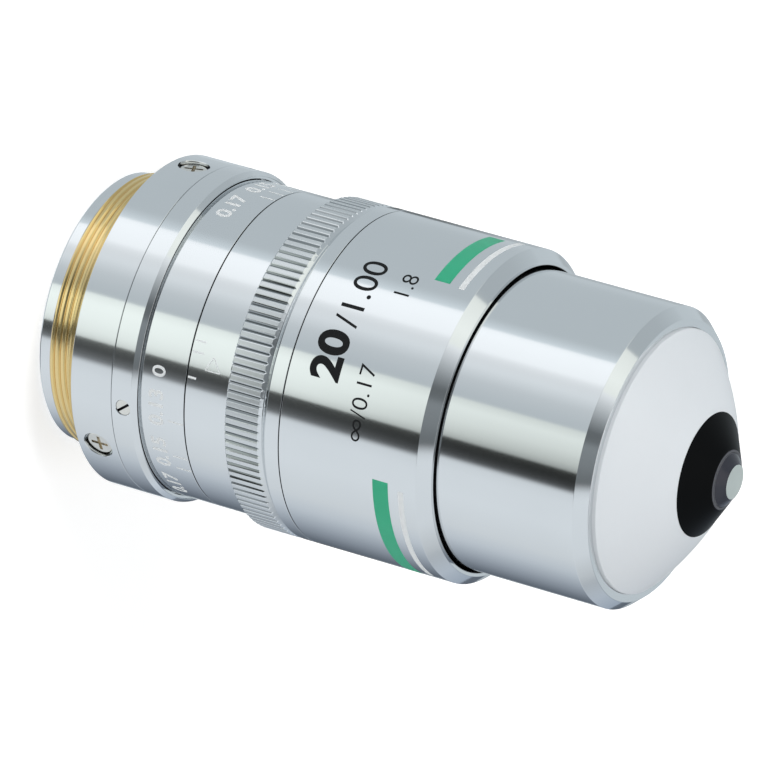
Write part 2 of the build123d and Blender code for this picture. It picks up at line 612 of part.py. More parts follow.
def cam_roller():
    """Roller on the follower pin, running in the helical slot."""
    start = CAM_BORE_R + PIN_SINK
    end = CAM_R - 2 * PIN_SINK
    body = radial_rod(CAM_PIN_Z, CAM_AZIMUTH, ROLLER_R, start, end)
    return body - radial_rod(CAM_PIN_Z, CAM_AZIMUTH, PIN_R + THREAD_FIT, start - CUT_PAST, end + CUT_PAST)


def collar_retainer():
    """Plain ring in front of the grip, screwed on the main tube to keep the collar on."""
    bore_r = TUBE_R + THREAD_FIT
    hub_r = bore_r + RETAINER_HUB_WALL
    return turned([(bore_r, RETAINER_HUB_Z), (hub_r, RETAINER_HUB_Z), (hub_r, RETAINER_Z),
                   (BARREL_R - RETAINER_EDGE, RETAINER_Z), (BARREL_R, RETAINER_Z + RETAINER_EDGE),
                   (BARREL_R, RETAINER_FRONT_Z), (bore_r, RETAINER_FRONT_Z)])


def outer_barrel():
    """Outer barrel: a web on the main tube, a hub against the ring behind it, and a wide shell."""
    bore_r = TUBE_R + THREAD_FIT
    hub_r = (bore_r + BARREL_R) / 2
    chamfer_z = OUTER_FRONT_Z - OUTER_CHAMFER_LENGTH
    return turned([(bore_r, RETAINER_FRONT_Z), (hub_r, RETAINER_FRONT_Z), (hub_r, OUTER_Z),
                   (BARREL_R, OUTER_Z), (BARREL_R, chamfer_z), (OUTER_BORE_R, OUTER_FRONT_Z),
                   (OUTER_BORE_R, NOSE_Z), (bore_r, NOSE_Z)])


def nose_barrel():
    """Slimmer barrel that stands clear of the outer one and carries the ceramic nose."""
    bore_r = TUBE_R + THREAD_FIT
    shell_r = NOSE_R - NOSE_WALL
    web_z = NOSE_Z + NOSE_WEB_LENGTH
    lip_r = CERAMIC_BORE_R - NOSE_SEAT_LIP_WIDTH
    lip_z = CERAMIC_SEAT_Z - NOSE_SEAT_LIP_LENGTH
    chamfer_z = NOSE_FRONT_Z - NOSE_CHAMFER_LENGTH
    return turned([(bore_r, NOSE_Z), (NOSE_R, NOSE_Z), (NOSE_R, chamfer_z), (NOSE_RIM_R, NOSE_FRONT_Z),
                   (CERAMIC_BORE_R, NOSE_FRONT_Z), (CERAMIC_BORE_R, CERAMIC_SEAT_Z),
                   (lip_r, CERAMIC_SEAT_Z), (lip_r, lip_z), (shell_r, lip_z), (shell_r, web_z),
                   (bore_r, web_z)])


def seal_z():
    """Middle height of the ceramic nose's rubber seal."""
    return CERAMIC_SEAT_Z + SEAL_GROOVE_INSET


def ceramic_nose():
    """White ceramic cone with a skirt in the nose barrel and a groove for the seal."""
    groove_r = CERAMIC_R - 2 * SEAL_SECTION_R
    groove_low = seal_z() - SEAL_SECTION_R - SLIDE_FIT
    groove_high = seal_z() + SEAL_SECTION_R + SLIDE_FIT
    skirt_r = CERAMIC_R - CERAMIC_SKIRT_WALL
    hole_r = CERAMIC_TIP_R - CERAMIC_END_WALL
    slope = (CERAMIC_R - CERAMIC_TIP_R) / CERAMIC_CONE_LENGTH
    land_z = CERAMIC_LAND_Z
    cone_z = land_z - (skirt_r - CERAMIC_TIP_R) / slope
    return turned([(skirt_r, CERAMIC_SEAT_Z), (CERAMIC_R, CERAMIC_SEAT_Z), (CERAMIC_R, groove_low),
                   (groove_r, groove_low), (groove_r, groove_high), (CERAMIC_R, groove_high),
                   (CERAMIC_R, NOSE_FRONT_Z), (CERAMIC_TIP_R, CERAMIC_FRONT_Z),
                   (hole_r, CERAMIC_FRONT_Z), (hole_r, land_z), (CERAMIC_TIP_R, land_z),
                   (skirt_r, cone_z)])


def nose_seal():
    """Rubber O-ring in the ceramic nose's groove."""
    groove_r = CERAMIC_R - 2 * SEAL_SECTION_R
    return Pos(0, 0, seal_z()) * Torus(groove_r + SEAL_SECTION_R + SLIDE_FIT / 2, SEAL_SECTION_R)


def front_lens_mount():
    """Black mount: a pilot that clamps the lens stack, a flange, and a nose for the tip cell."""
    flange_z = TUBE_FRONT_Z + MOUNT_FLANGE_LENGTH
    nose_bore_r = TIP_SHANK_R + THREAD_FIT
    end_z = CERAMIC_LAND_Z - MOUNT_NOSE_GAP
    taper_z = end_z - MOUNT_TAPER_LENGTH
    pilot_bore_r = FRONT_SINGLET_R - LENS_SEAT
    step_z = tip_shank_z()
    return turned([(pilot_bore_r, STACK_END_Z), (STACK_CELL_R, STACK_END_Z), (STACK_CELL_R, TUBE_FRONT_Z),
                   (TUBE_R, TUBE_FRONT_Z), (TUBE_R, flange_z), (MOUNT_NECK_R, flange_z),
                   (MOUNT_NECK_R, taper_z), (MOUNT_NOSE_R, end_z), (nose_bore_r, end_z),
                   (nose_bore_r, step_z), (MENISCUS_R - LENS_SEAT, step_z),
                   (MENISCUS_R - LENS_SEAT, flange_z), (pilot_bore_r, TUBE_FRONT_Z)])


def tip_shank_z():
    """Height of the tip cell's rear end, which seats on a step in the lens mount."""
    return CERAMIC_FRONT_Z - TIP_SHANK_LENGTH


def union_ring():
    """Union ring screwed over the main tube's end, with a lip that clamps the mount's flange."""
    bore_r = TUBE_R + THREAD_FIT
    outer_r = bore_r + UNION_WALL
    flange_z = TUBE_FRONT_Z + MOUNT_FLANGE_LENGTH
    lip_r = (TUBE_R + MOUNT_NECK_R) / 2
    start = TUBE_FRONT_Z - UNION_GRIP_LENGTH
    end = UNION_FRONT_Z
    body = turned([(bore_r, start), (outer_r, start), (outer_r, flange_z), (TUBE_R, end), (lip_r, end),
                   (lip_r, flange_z), (bore_r, flange_z)])
    return body - spanner_slots(outer_r, end)


def tip_cell():
    """Black cone at the tip: a shank in the lens mount and seats for the two tip lenses."""
    cone_end_r = TIP_LENS_R + TIP_END_WALL
    end_z = CERAMIC_FRONT_Z + TIP_CONE_LENGTH
    start = tip_shank_z()
    meniscus_z = start + MENISCUS_EDGE
    lens_z = end_z - FRONT_LENS_EDGE
    lens_bore_r = TIP_LENS_R + LENS_FIT
    return turned([(MENISCUS_R + LENS_FIT, start), (TIP_SHANK_R, start), (TIP_SHANK_R, CERAMIC_FRONT_Z),
                   (CERAMIC_TIP_R, CERAMIC_FRONT_Z), (cone_end_r, end_z), (lens_bore_r, end_z),
                   (lens_bore_r, lens_z), (TIP_LENS_R - TIP_LENS_SEAT, lens_z),
                   (MENISCUS_R - LENS_SEAT, meniscus_z), (MENISCUS_R + LENS_FIT, meniscus_z)])


def front_lens():
    """Front lens: a flat-ended glass cone that stands out of the tip, with a rounded back."""
    end_z = CERAMIC_FRONT_Z + TIP_CONE_LENGTH
    lens_z = end_z - FRONT_LENS_EDGE
    cap_r = TIP_LENS_R - TIP_LENS_SEAT
    tip_z = end_z + FRONT_LENS_TIP_LENGTH
    sides = [Line((cap_r, 0, lens_z), (TIP_LENS_R, 0, lens_z)),
             Line((TIP_LENS_R, 0, lens_z), (TIP_LENS_R, 0, end_z)),
             Line((TIP_LENS_R, 0, end_z), (FRONT_LENS_TIP_R, 0, tip_z)),
             Line((FRONT_LENS_TIP_R, 0, tip_z), (0, 0, tip_z)),
             Line((0, 0, tip_z), (0, 0, lens_z - FRONT_LENS_BACK)),
             cap_side(cap_r, lens_z, -FRONT_LENS_BACK)]
    return revolve(make_face(sides), Axis.Z)


def tip_meniscus():
    """Meniscus lens behind the front lens, held between the tip cell and the lens mount."""
    start = tip_shank_z()
    return lens(start, start + MENISCUS_EDGE, MENISCUS_R, MENISCUS_REAR_BULGE, -MENISCUS_FRONT_HOLLOW)


def front_group():
    """Cells, lenses and spacers of the fixed group ahead of the sliding one, as a dict of nodes."""
    inner_lens_z = INNER_CELL_Z + CELL_LIP_LENGTH
    middle_lens_z = MIDDLE_CELL_Z + CELL_LIP_LENGTH
    front_lens_z = FRONT_CELL_Z + CELL_LIP_LENGTH
    inner_joint = inner_lens_z + INNER_CROWN_EDGE
    middle_joint = middle_lens_z + MIDDLE_CROWN_EDGE
    return {
        "inner_cell": cell(INNER_CELL_Z, INNER_SPACER_Z, STACK_CELL_R, INNER_LENS_R),
        "inner_crown": lens(inner_lens_z, inner_joint, INNER_LENS_R, INNER_REAR_BULGE, INNER_JOINT_BULGE),
        "inner_flint": lens(inner_joint + CEMENT, INNER_SPACER_Z, INNER_LENS_R,
                            -INNER_JOINT_BULGE, INNER_FRONT_BULGE),
        "inner_spacer": ring(INNER_LENS_R - LENS_SEAT, STACK_CELL_R, INNER_SPACER_Z, MIDDLE_CELL_Z),
        "middle_cell": cell(MIDDLE_CELL_Z, MIDDLE_SPACER_Z, STACK_CELL_R, MIDDLE_LENS_R),
        "middle_crown": lens(middle_lens_z, middle_joint, MIDDLE_LENS_R,
                             MIDDLE_REAR_BULGE, MIDDLE_JOINT_BULGE),
        "middle_flint": lens(middle_joint + CEMENT, MIDDLE_SPACER_Z, MIDDLE_LENS_R,
                             -MIDDLE_JOINT_BULGE, MIDDLE_FRONT_BULGE),
        "middle_spacer": ring(MIDDLE_LENS_R - LENS_SEAT, STACK_CELL_R, MIDDLE_SPACER_Z, FRONT_CELL_Z),
        "front_cell": cell(FRONT_CELL_Z, STACK_END_Z, STACK_CELL_R, FRONT_SINGLET_R),
        "front_singlet": lens(front_lens_z, STACK_END_Z, FRONT_SINGLET_R,
                              FRONT_SINGLET_REAR_BULGE, -FRONT_SINGLET_FRONT_HOLLOW),
    }


def rear_group():
    """Cell, doublet and retaining ring of the fixed group behind the sliding one."""
    outer_r = REAR_BORE_R - SLIDE_FIT
    front = TUBE_REAR_Z + REAR_BORE_LENGTH
    lens_top = front - CELL_LIP_LENGTH
    joint = lens_top - REAR_CROWN_EDGE
    rear = joint - CEMENT - REAR_FLINT_EDGE
    body = cell(-front, -rear, outer_r, REAR_LENS_R)
    retainer_z = rear - REAR_RETAINER_LENGTH
    retainer = ring(REAR_LENS_R - LENS_SEAT, outer_r, retainer_z, rear)
    return {
        "rear_cell": Rot(180, 0, 0) * body,
        "rear_crown": lens(joint, lens_top, REAR_LENS_R, REAR_JOINT_BULGE, REAR_FRONT_BULGE),
        "rear_flint": lens(rear, joint - CEMENT, REAR_LENS_R, REAR_REAR_BULGE, -REAR_JOINT_BULGE),
        "rear_retainer": retainer - spanner_slots(outer_r, retainer_z),
    }


def all_nodes():
    """Every piece of the objective by its name; a list is a group of like fasteners."""
    nodes = {
        "mount_ring": mount_ring(),
        "parfocal_spacer": parfocal_spacer(),
        "rear_housing": rear_housing(),
        "housing_screws": housing_screws(),
        "rear_lock_ring": rear_lock_ring(),
        "lock_set_screws": lock_set_screws(),
        "scale_ring": scale_ring(),
        "main_tube": main_tube(),
        "correction_collar": correction_collar(),
        "cam_ring": cam_ring(),
        "collar_screws": collar_screws(),
        "correction_cell": correction_cell(),
        "correction_crown": correction_crown(),
        "correction_flint": correction_flint(),
        "correction_retainer": correction_retainer(),
        "cam_pin": cam_pin(),
        "cam_roller": cam_roller(),
        "collar_retainer": collar_retainer(),
        "outer_barrel": outer_barrel(),
        "nose_barrel": nose_barrel(),
        "ceramic_nose": ceramic_nose(),
        "nose_seal": nose_seal(),
        "union_ring": union_ring(),
        "front_lens_mount": front_lens_mount(),
        "tip_cell": tip_cell(),
        "front_lens": front_lens(),
        "tip_meniscus": tip_meniscus(),
    }
    nodes.update(front_group())
    nodes.update(rear_group())
    return nodes


def main():
    """Write one STEP file per node."""
    os.makedirs("parts", exist_ok=True)
    for name, shape in all_nodes().items():
        piece = Compound(children=shape) if isinstance(shape, list) else shape
        export_step(piece, f"parts/{name}.step")
        print(name, round(piece.volume, 1))


main()
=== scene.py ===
# %% [markdown]
# # Dressing a microscope objective
#
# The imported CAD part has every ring, lens and screw at its real size. This lesson gives it the finish of
# the real object: satin chrome with clean broken edges, a bare brass thread, a white ceramic nose, a
# black tip and the markings. Everything is worked out in millimetres and written in metres.

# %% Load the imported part
import bpy
import bmesh
import json
import math
import numpy as np
from mathutils import Matrix, Vector

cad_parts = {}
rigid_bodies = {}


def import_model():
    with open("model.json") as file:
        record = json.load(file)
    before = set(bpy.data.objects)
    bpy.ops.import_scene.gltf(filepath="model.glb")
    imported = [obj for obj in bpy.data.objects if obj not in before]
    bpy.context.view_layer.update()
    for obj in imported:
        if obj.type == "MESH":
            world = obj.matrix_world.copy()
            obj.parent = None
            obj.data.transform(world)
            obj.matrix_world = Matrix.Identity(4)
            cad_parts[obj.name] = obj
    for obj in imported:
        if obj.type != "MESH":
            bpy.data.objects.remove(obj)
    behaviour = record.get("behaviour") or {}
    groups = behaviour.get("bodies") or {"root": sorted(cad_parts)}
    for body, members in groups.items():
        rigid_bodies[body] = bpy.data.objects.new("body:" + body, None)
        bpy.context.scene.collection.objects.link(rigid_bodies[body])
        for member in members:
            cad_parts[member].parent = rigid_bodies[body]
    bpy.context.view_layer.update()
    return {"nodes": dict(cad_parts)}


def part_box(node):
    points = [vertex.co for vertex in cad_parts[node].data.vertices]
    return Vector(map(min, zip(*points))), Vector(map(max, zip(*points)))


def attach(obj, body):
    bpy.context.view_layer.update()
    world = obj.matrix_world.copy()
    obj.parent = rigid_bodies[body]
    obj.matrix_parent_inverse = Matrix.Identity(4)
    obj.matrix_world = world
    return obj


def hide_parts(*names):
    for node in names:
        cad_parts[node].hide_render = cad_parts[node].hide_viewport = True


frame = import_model()
MM = 0.001
scene = bpy.context.scene
scene.view_settings.view_transform = "Standard"
for leftover in [o for o in bpy.data.objects if o.name in ("Cube", "Light", "Camera")]:
    bpy.data.objects.remove(leftover)


def add_object(name, data):
    """A new object of the scene with this data."""
    made = bpy.data.objects.new(name, data)
    scene.collection.objects.link(made)
    return made


# %% [markdown]
# ## Sizes from the frame
#
# Every ring is turned about the same upright axis, so a node's box gives its outer radius, its start and
# its end. The visible skins are drawn a hair inside the CAD radius, so that the filled markings can lie
# flush with the true size and still show.

# %% Radius, start and end of each ring
SKIN = 0.012


def span(node):
    """Outer radius, lowest and highest place of a turned node, in millimetres."""
    low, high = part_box(node)
    return round(high[0] / MM, 3), round(low[2] / MM, 3), round(high[2] / MM, 3)


BARREL_R, SHOULDER_Z, HOUSING_Z = span("rear_housing")
LOCK_Z, LOCK_FRONT_Z = span("rear_lock_ring")[1:]
SCALE_R, SCALE_REAR_Z, SCALE_FRONT_Z = span("scale_ring")
COLLAR_Z, COLLAR_FRONT_Z = span("correction_collar")[1:]
RETAINER_Z, RETAINER_FRONT_Z = span("collar_retainer")[1:]
OUTER_Z, OUTER_FRONT_Z = span("outer_barrel")[1:]
NOSE_R, NOSE_Z, NOSE_FRONT_Z = span("nose_barrel")
CERAMIC_R, CERAMIC_Z, CERAMIC_FRONT_Z = span("ceramic_nose")
TIP_R, TIP_Z, TIP_FRONT_Z = span("tip_cell")
LENS_R, LENS_Z, LENS_FRONT_Z = span("front_lens")
THREAD_R, REAR_Z, SPIGOT_Z = span("mount_ring")
SKIN_R, SCALE_SKIN_R, BORE_R = BARREL_R - SKIN, SCALE_R - SKIN, 12.54
print("barrel radius", BARREL_R, "mm, shoulder", SHOULDER_Z, "mm, tip", LENS_FRONT_Z, "mm")

# %% [markdown]
# ## Arithmetic on material values
#
# A material is a sum of many small steps, such as "one minus the mask, times the roughness". Placing
# those nodes one by one hides the sum, so a small class wraps a socket and turns + - * ** into Math
# nodes. The patterns and every other node go through one method that takes a type, settings and sockets.

# %% A value in a material
class Shade:
    """A socket of a node tree that can be added, subtracted, multiplied and raised to a power."""

    def __init__(self, tree, socket=None):
        self.tree, self.socket = tree, socket

    def node(self, kind, settings=None, inputs=None, output=0):
        """Any node: its settings are made first, then its sockets get a value, a colour or a link."""
        made = self.tree.nodes.new(kind)
        for name, value in (settings or {}).items():
            setattr(made, name, value)
        for key, value in (inputs or {}).items():
            if isinstance(value, Shade):
                self.tree.links.new(value.socket, made.inputs[key])
            else:
                made.inputs[key].default_value = (*value, 1.0) if isinstance(value, tuple) else value
        return Shade(self.tree, made.outputs[output] if made.outputs else None)

    def out(self, name):
        """Another output of the same node."""
        return Shade(self.tree, self.socket.node.outputs[name])

    def maths(self, operation, *values, clamp=False):
        """A Math node of this operation on the values; clamp holds the result between 0 and 1."""
        settings = {"operation": operation, "use_clamp": clamp}
        return self.node("ShaderNodeMath", settings, dict(enumerate(values)))

    def rises(self, level, width):
        """0 below the level, 1 above level + width, and even in between."""
        return self.maths("MULTIPLY", self - level, 1 / width, clamp=True)

    def over(self, level):
        """1 above the level and 0 below it."""
        return self.maths("GREATER_THAN", self, level)

    def __add__(self, other):
        return self.maths("ADD", self, other)

    def __sub__(self, other):
        return self.maths("SUBTRACT", self, other)

    def __rsub__(self, other):
        return self.maths("SUBTRACT", other, self)

    def __mul__(self, other):
        return self.maths("MULTIPLY", self, other)

    def __pow__(self, other):
        return self.maths("POWER", self, other)

    def __rpow__(self, other):
        return self.maths("POWER", other, self)

    __radd__, __rmul__ = __add__, __mul__

    def blend(self, first, second):
        """The first colour where this is 0 and the second where it is 1."""
        return self.node("ShaderNodeMix", {"data_type": "RGBA"}, {0: self, 6: first, 7: second}, output=2)

    def cloud(self, per_mm, detail=2.0):
        """Soft blotches that fill space, at so many to the millimetre."""
        return self.node("ShaderNodeTexNoise", inputs={
            "Vector": self, "Scale": per_mm / MM, "Detail": detail})

    def rings(self, height, per_mm, detail=2.0):
        """Turning marks: noise over this radius and the height alone."""
        both = self.node("ShaderNodeCombineXYZ", inputs={0: self, 1: height})
        return self.node("ShaderNodeTexNoise", {"noise_dimensions": "2D"},
                         {"Vector": both, "Scale": per_mm, "Detail": detail})

    def relief(self, strength, distance_mm):
        """A Bump node: this pattern raised by so many millimetres."""
        return self.node("ShaderNodeBump", inputs={
            "Strength": strength, "Distance": distance_mm * MM, "Height": self})


print("materials are written as sums from here on")

# %% [markdown]
# ## Places on a turned part
#
# Most of these parts came off a lathe, so their marks run round the optical axis. A pattern that reads
# the radius and the height of a point, and not its direction, gives rings on every face, as turning does.

# %% Radius and height of a point, in millimetres
def lathe_place(start):
    """Radius = (x^2 + y^2)^0.5 and height = z, both in millimetres, and the plain place."""
    place = start.node("ShaderNodeTexCoord", output="Object")
    split = start.node("ShaderNodeSeparateXYZ", inputs={0: place})
    x, y, z = split.out("X") * (1 / MM), split.out("Y") * (1 / MM), split.out("Z") * (1 / MM)
    radius = (x * x + y * y) ** 0.5
    return radius, z, place


def new_finish(name):
    """An empty material and the start of its tree."""
    material = bpy.data.materials.new(name)
    material.use_nodes = True
    material.node_tree.nodes.clear()
    return material, Shade(material.node_tree)


def close_finish(start, sockets):
    """The Principled shader with these sockets, joined to the material's output."""
    shader = start.node("ShaderNodeBsdfPrincipled", inputs=sockets)
    start.node("ShaderNodeOutputMaterial", inputs={"Surface": shader})


print("a finish starts from the radius and the height of a point")

# %% [markdown]
# ## Metal finishes
#
# The barrels are brass with chrome over it: nearly a mirror, softened by lathe marks that are a bump of
# under a thousandth of a millimetre. Surfaces that face into the body are blackened so that they throw
# no stray light about, so the finish has a radius below which it turns dark. The crests of the grip are
# blasted, which a second radius gives, and its grooves are darkened with painted shade.

# %% Satin chrome
CHROME = (0.80, 0.815, 0.825)
CHROME_HAZE = (0.765, 0.78, 0.79)
# black oxide inside the chrome barrels; as the set screws' recess colour it is painted shade
BLACK_OXIDE_AND_SHADE = (0.012, 0.013, 0.014)
# Painted shade in the grooves of the grip: its colour, and how far below the crests it starts.
GROOVE_SHADE_PAINT = (0.30, 0.32, 0.33)
GROOVE_SHADE_DEPTH = 0.085
CHROME_ROUGHNESS = 0.07
BLASTED_ROUGHNESS = 0.38
NO_RADIUS = 99.0


def satin_chrome(name, inner_radius, blasted_radius=NO_RADIUS, groove_z=(NO_RADIUS, NO_RADIUS)):
    """Chrome outside inner_radius (mm), black oxide inside it, and blasted outside blasted_radius.

    Between the two heights of groove_z, what lies below the crests of the ridges gets a painted shade.
    """
    material, start = new_finish(name)
    radius, height, place = lathe_place(start)
    outside = radius.rises(inner_radius, 0.08)
    blasted = radius.over(blasted_radius)
    haze = place.cloud(0.09, 3.0)
    lines = radius.rings(height, 5.0, 3.0)
    # painted shade: darkens the grip's grooves between the two heights of groove_z
    painted_groove_shade = ((1 - radius.rises(BARREL_R - GROOVE_SHADE_DEPTH, 0.05)) * height.rises(groove_z[0], 0.1)
           * (1 - height.over(groove_z[1])))
    plated = painted_groove_shade.blend(haze.blend(CHROME, CHROME_HAZE), GROOVE_SHADE_PAINT)
    close_finish(start, {
        "Base Color": outside.blend(BLACK_OXIDE_AND_SHADE, plated),
        "Metallic": outside * 0.92 + 0.08,
        "Roughness": (haze * 0.03 + lines * 0.02 + CHROME_ROUGHNESS) * outside
                     + (1 - outside) * 0.55 + blasted * (BLASTED_ROUGHNESS - CHROME_ROUGHNESS),
        "Normal": lines.relief(0.35, 0.0006)})
    return material


def plain_metal(name, light, dark, roughness, recess_radius=0.0, recess=BLACK_OXIDE_AND_SHADE):
    """Turned metal without plating: two tones in rings and blotches, a third inside recess_radius."""
    material, start = new_finish(name)
    radius, height, place = lathe_place(start)
    haze = place.cloud(0.6, 3.0)
    lines = radius.rings(height, 7.0)
    tones = (haze * 0.7 + lines * 0.3).blend(light, dark)
    close_finish(start, {
        "Base Color": radius.rises(recess_radius, 0.05).blend(recess, tones),
        "Metallic": 1.0,
        "Roughness": haze * 0.12 + lines * 0.06 + (roughness - 0.09),
        "Normal": lines.relief(0.4, 0.0012)})
    return material


HEAD_TOP_R, SET_END_R = 18.86, 19.11
nickel = ((0.86, 0.84, 0.79), (0.74, 0.72, 0.67))
nickel_recess = (0.80, 0.74, 0.64)
chrome = satin_chrome("satin_chrome", 14.9)
head_steel = plain_metal("screw_head_nickel", *nickel, 0.22, HEAD_TOP_R - 0.14, nickel_recess)
# painted shade: the set screws are black deeper than 0.12 mm below their end face, down in their holes
set_steel = plain_metal("set_screw_nickel", *nickel, 0.20, SET_END_R - 0.12)
steel = plain_metal("pin_steel", (0.62, 0.62, 0.61), (0.46, 0.46, 0.45), 0.26)
bronze = plain_metal("cam_bronze_finish", (0.66, 0.44, 0.24), (0.50, 0.32, 0.16), 0.34)
alloy = plain_metal("dull_alloy_finish", (0.50, 0.50, 0.51), (0.38, 0.38, 0.39), 0.45)
print("metals:", chrome.name, head_steel.name, bronze.name, alloy.name)

# %% [markdown]
# ## The bare brass thread
#
# The mounting thread is left unplated. Its crests are lighter, as rubbed brass and with a painted
# highlight, and its roots are darker with painted shade, so the colour follows the radius. The pilot band
# behind the thread and the undercut in front of it are plated, so the brass shows only between two heights.

# %% Brass with painted shade in its roots and lighter crests
THREAD_DEPTH = 0.14
THREAD_START_Z, THREAD_END_Z = -3.03, -0.38
brass, start = new_finish("brass_thread_finish")
radius, height, place = lathe_place(start)
# crest is 0 in the thread's roots and 1 on its crests: painted shade in the roots, and crests lighter as
# rubbed brass and with a painted highlight
crest = radius.rises(THREAD_R - 0.8 * THREAD_DEPTH, 0.7 * THREAD_DEPTH)
brass_zone = (height.over(THREAD_START_Z - 0.02) * (1 - height.over(THREAD_END_Z + 0.02))
              * radius.over(THREAD_R - THREAD_DEPTH - 0.1))
spots = place.cloud(0.35, 3.0)
fine = place.cloud(2.5)
crest_highlight_and_root_shade = crest.blend((0.80, 0.55, 0.21), (0.91, 0.70, 0.34))
brass_tones = (spots * 0.25).blend(crest_highlight_and_root_shade, (0.70, 0.50, 0.22))
plated = spots.blend(CHROME, CHROME_HAZE)
close_finish(start, {
    "Base Color": brass_zone.blend(plated, brass_tones),
    "Metallic": 1.0,
    "Roughness": spots * 0.04 + fine * brass_zone * 0.06 + brass_zone * 0.06 + CHROME_ROUGHNESS,
    "Normal": radius.rings(height, 6.0).relief(0.4, 0.0012)})
print("brass shows from", THREAD_START_Z, "to", THREAD_END_Z, "mm")

# %% [markdown]
# ## Ceramic, black metal, rubber and enamel
#
# The dipping cone is a dense white ceramic with a faint gloss. The tip cell and the inner rings are
# black anodised, a deep matt black. Enamel fills the engraved markings.

# %% Finishes that aren't plated
def soft_finish(name, light, dark, roughness, spread, specular=0.5, coat=0.0, grain=2.0):
    """A non-metal with two near tones, an uneven gloss and a fine grain."""
    material, start = new_finish(name)
    place = start.node("ShaderNodeTexCoord", output="Object")
    haze = place.cloud(0.12, 3.0)
    fine = place.cloud(grain)
    close_finish(start, {
        "Base Color": haze.blend(light, dark),
        "Roughness": haze * spread + fine * 0.04 + (roughness - spread / 2),
        "Specular IOR Level": specular, "Coat Weight": coat, "Coat Roughness": 0.12,
        "Normal": fine.relief(0.5, 0.001)})
    return material


ceramic = soft_finish("nose_ceramic", (0.822, 0.864, 0.898), (0.785, 0.832, 0.870), 0.36, 0.08, coat=0.12)
black = soft_finish("black_anodised", (0.006, 0.007, 0.008), (0.010, 0.011, 0.012), 0.42, 0.10, 0.20,
                    grain=6.0)
rubber = soft_finish("seal_black", (0.020, 0.020, 0.020), (0.032, 0.032, 0.031), 0.62, 0.12)
black_fill = soft_finish("black_enamel", (0.007, 0.008, 0.009), (0.012, 0.013, 0.014), 0.45, 0.12, 0.15)
white_fill = soft_finish("white_enamel", (0.90, 0.94, 0.95), (0.84, 0.88, 0.90), 0.45, 0.12)
green_fill = soft_finish("green_enamel", (0.042, 0.51, 0.285), (0.034, 0.44, 0.235), 0.38, 0.12, 0.35)
print("soft finishes:", ceramic.name, black.name, rubber.name, green_fill.name)

# %% [markdown]
# ## Glass
#
# Seen from outside, the front lens looks into the black inside of the objective, while its polished end
# shows pale. Both are painted: the lens is opaque, with the dark inside painted on its side, nearly black
# with a blue cast, and a pale painted reflection on its end. The end and the side are two shaders, mixed
# by the height of the point. The lenses inside are plain clear glass with a faint coating tint.

# %% Clear glass with a coating tint that is uneven over the surface
glass, start = new_finish("coated_glass")
haze = start.node("ShaderNodeTexCoord", output="Object").cloud(0.2)
close_finish(start, {
    "Base Color": haze.blend((0.93, 0.97, 0.98), (0.86, 0.92, 0.95)),
    "Roughness": haze * 0.02 + 0.01,
    "Transmission Weight": 1.0, "IOR": 1.52})
print("inner lenses:", glass.name)

# %% Front lens: a painted dark side, a painted pale end and a painted light line at the seat
front_lens_glass, start = new_finish("front_lens_glass")
radius, height, place = lathe_place(start)
haze = place.cloud(0.5)
# a light line painted on the lens's side at the seat, standing for the tip's rim seen through the glass
painted_rim_light = height.rises(TIP_FRONT_Z - 0.06, 0.03) * (1 - height.rises(TIP_FRONT_Z + 0.05, 0.03))
# painted: the dark inside seen through the side, and a pale reflection on the flat end
painted_dark_side_tones = haze.blend((0.026, 0.030, 0.040), (0.044, 0.044, 0.058))
painted_pale_end_tones = haze.blend((0.50, 0.57, 0.56), (0.43, 0.50, 0.49))
side = start.node("ShaderNodeBsdfPrincipled", inputs={
    "Base Color": painted_rim_light.blend(painted_dark_side_tones, (0.12, 0.125, 0.14)),
    "Roughness": haze * 0.05 + 0.08, "Specular IOR Level": 0.30})
end = start.node("ShaderNodeBsdfPrincipled", inputs={
    "Base Color": painted_pale_end_tones, "Roughness": haze * 0.05 + 0.05})
both = start.node("ShaderNodeMixShader", inputs={0: height.over(LENS_FRONT_Z - 0.03), 1: side, 2: end})
start.node("ShaderNodeOutputMaterial", inputs={"Surface": both})
print("front lens:", front_lens_glass.name)

# %% Tip: black anodising with a grey line painted on the flat rim round the lens as the sheen of its polish
tip_finish, start = new_finish("tip_black")
radius, height, place = lathe_place(start)
fine = place.cloud(6.0)
# painted sheen: the grey line on the flat rim round the lens
painted_rim_light = height.rises(TIP_FRONT_Z - 0.08, 0.04)
tones = fine.blend((0.0020, 0.0024, 0.0027), (0.0036, 0.0040, 0.0044))
close_finish(start, {
    "Base Color": painted_rim_light.blend(tones, (0.11, 0.115, 0.13)),
    "Roughness": fine * 0.08 + 0.36, "Specular IOR Level": 0.05,
    "Normal": fine.relief(0.5, 0.001)})
print("tip:", tip_finish.name)

# %% [markdown]
# ## Finishes on the CAD nodes
#
# The inner pieces keep their CAD shape. Each one's slot name says what it is made of, and it takes the
# finish of that name. The two kinds of screw that show have recesses of another tone, so they have
# finishes of their own; in the set screws that tone is black, a painted shade in their holes.

# %% One finish for each slot name
FINISH_OF_SLOT = {"chrome": chrome, "brass_thread": brass, "black_metal": black, "dull_alloy": alloy,
                  "steel": steel, "cam_bronze": bronze, "ceramic": ceramic, "glass": glass,
                  "seal_rubber": rubber}
FINISH_OF_NODE = {"housing_screws": head_steel, "lock_set_screws": set_steel}
for node_name, node in frame["nodes"].items():
    for place in node.material_slots:
        of_slot = FINISH_OF_SLOT[place.material.name.split(".")[0]]
        place.material = FINISH_OF_NODE.get(node_name, of_slot)
print("every CAD node has its finish from", len(FINISH_OF_SLOT), "material slots")

# %% [markdown]
# ## Turned surfaces with broken edges
#
# A lathe part is a closed outline carried round the axis. The CAD solids have sharp corners, but every
# real edge is broken, and the thin bright line that this leaves is most of what makes metal look real.
# So each visible ring is made again from the same outline, with a small arc at each corner and with
# normals worked out from it, so that flats stay flat and arcs stay round.

# %% An outline with rounded corners
ARC_STEPS = 4


def unit(vectors):
    return vectors / np.linalg.norm(vectors, axis=-1, keepdims=True)


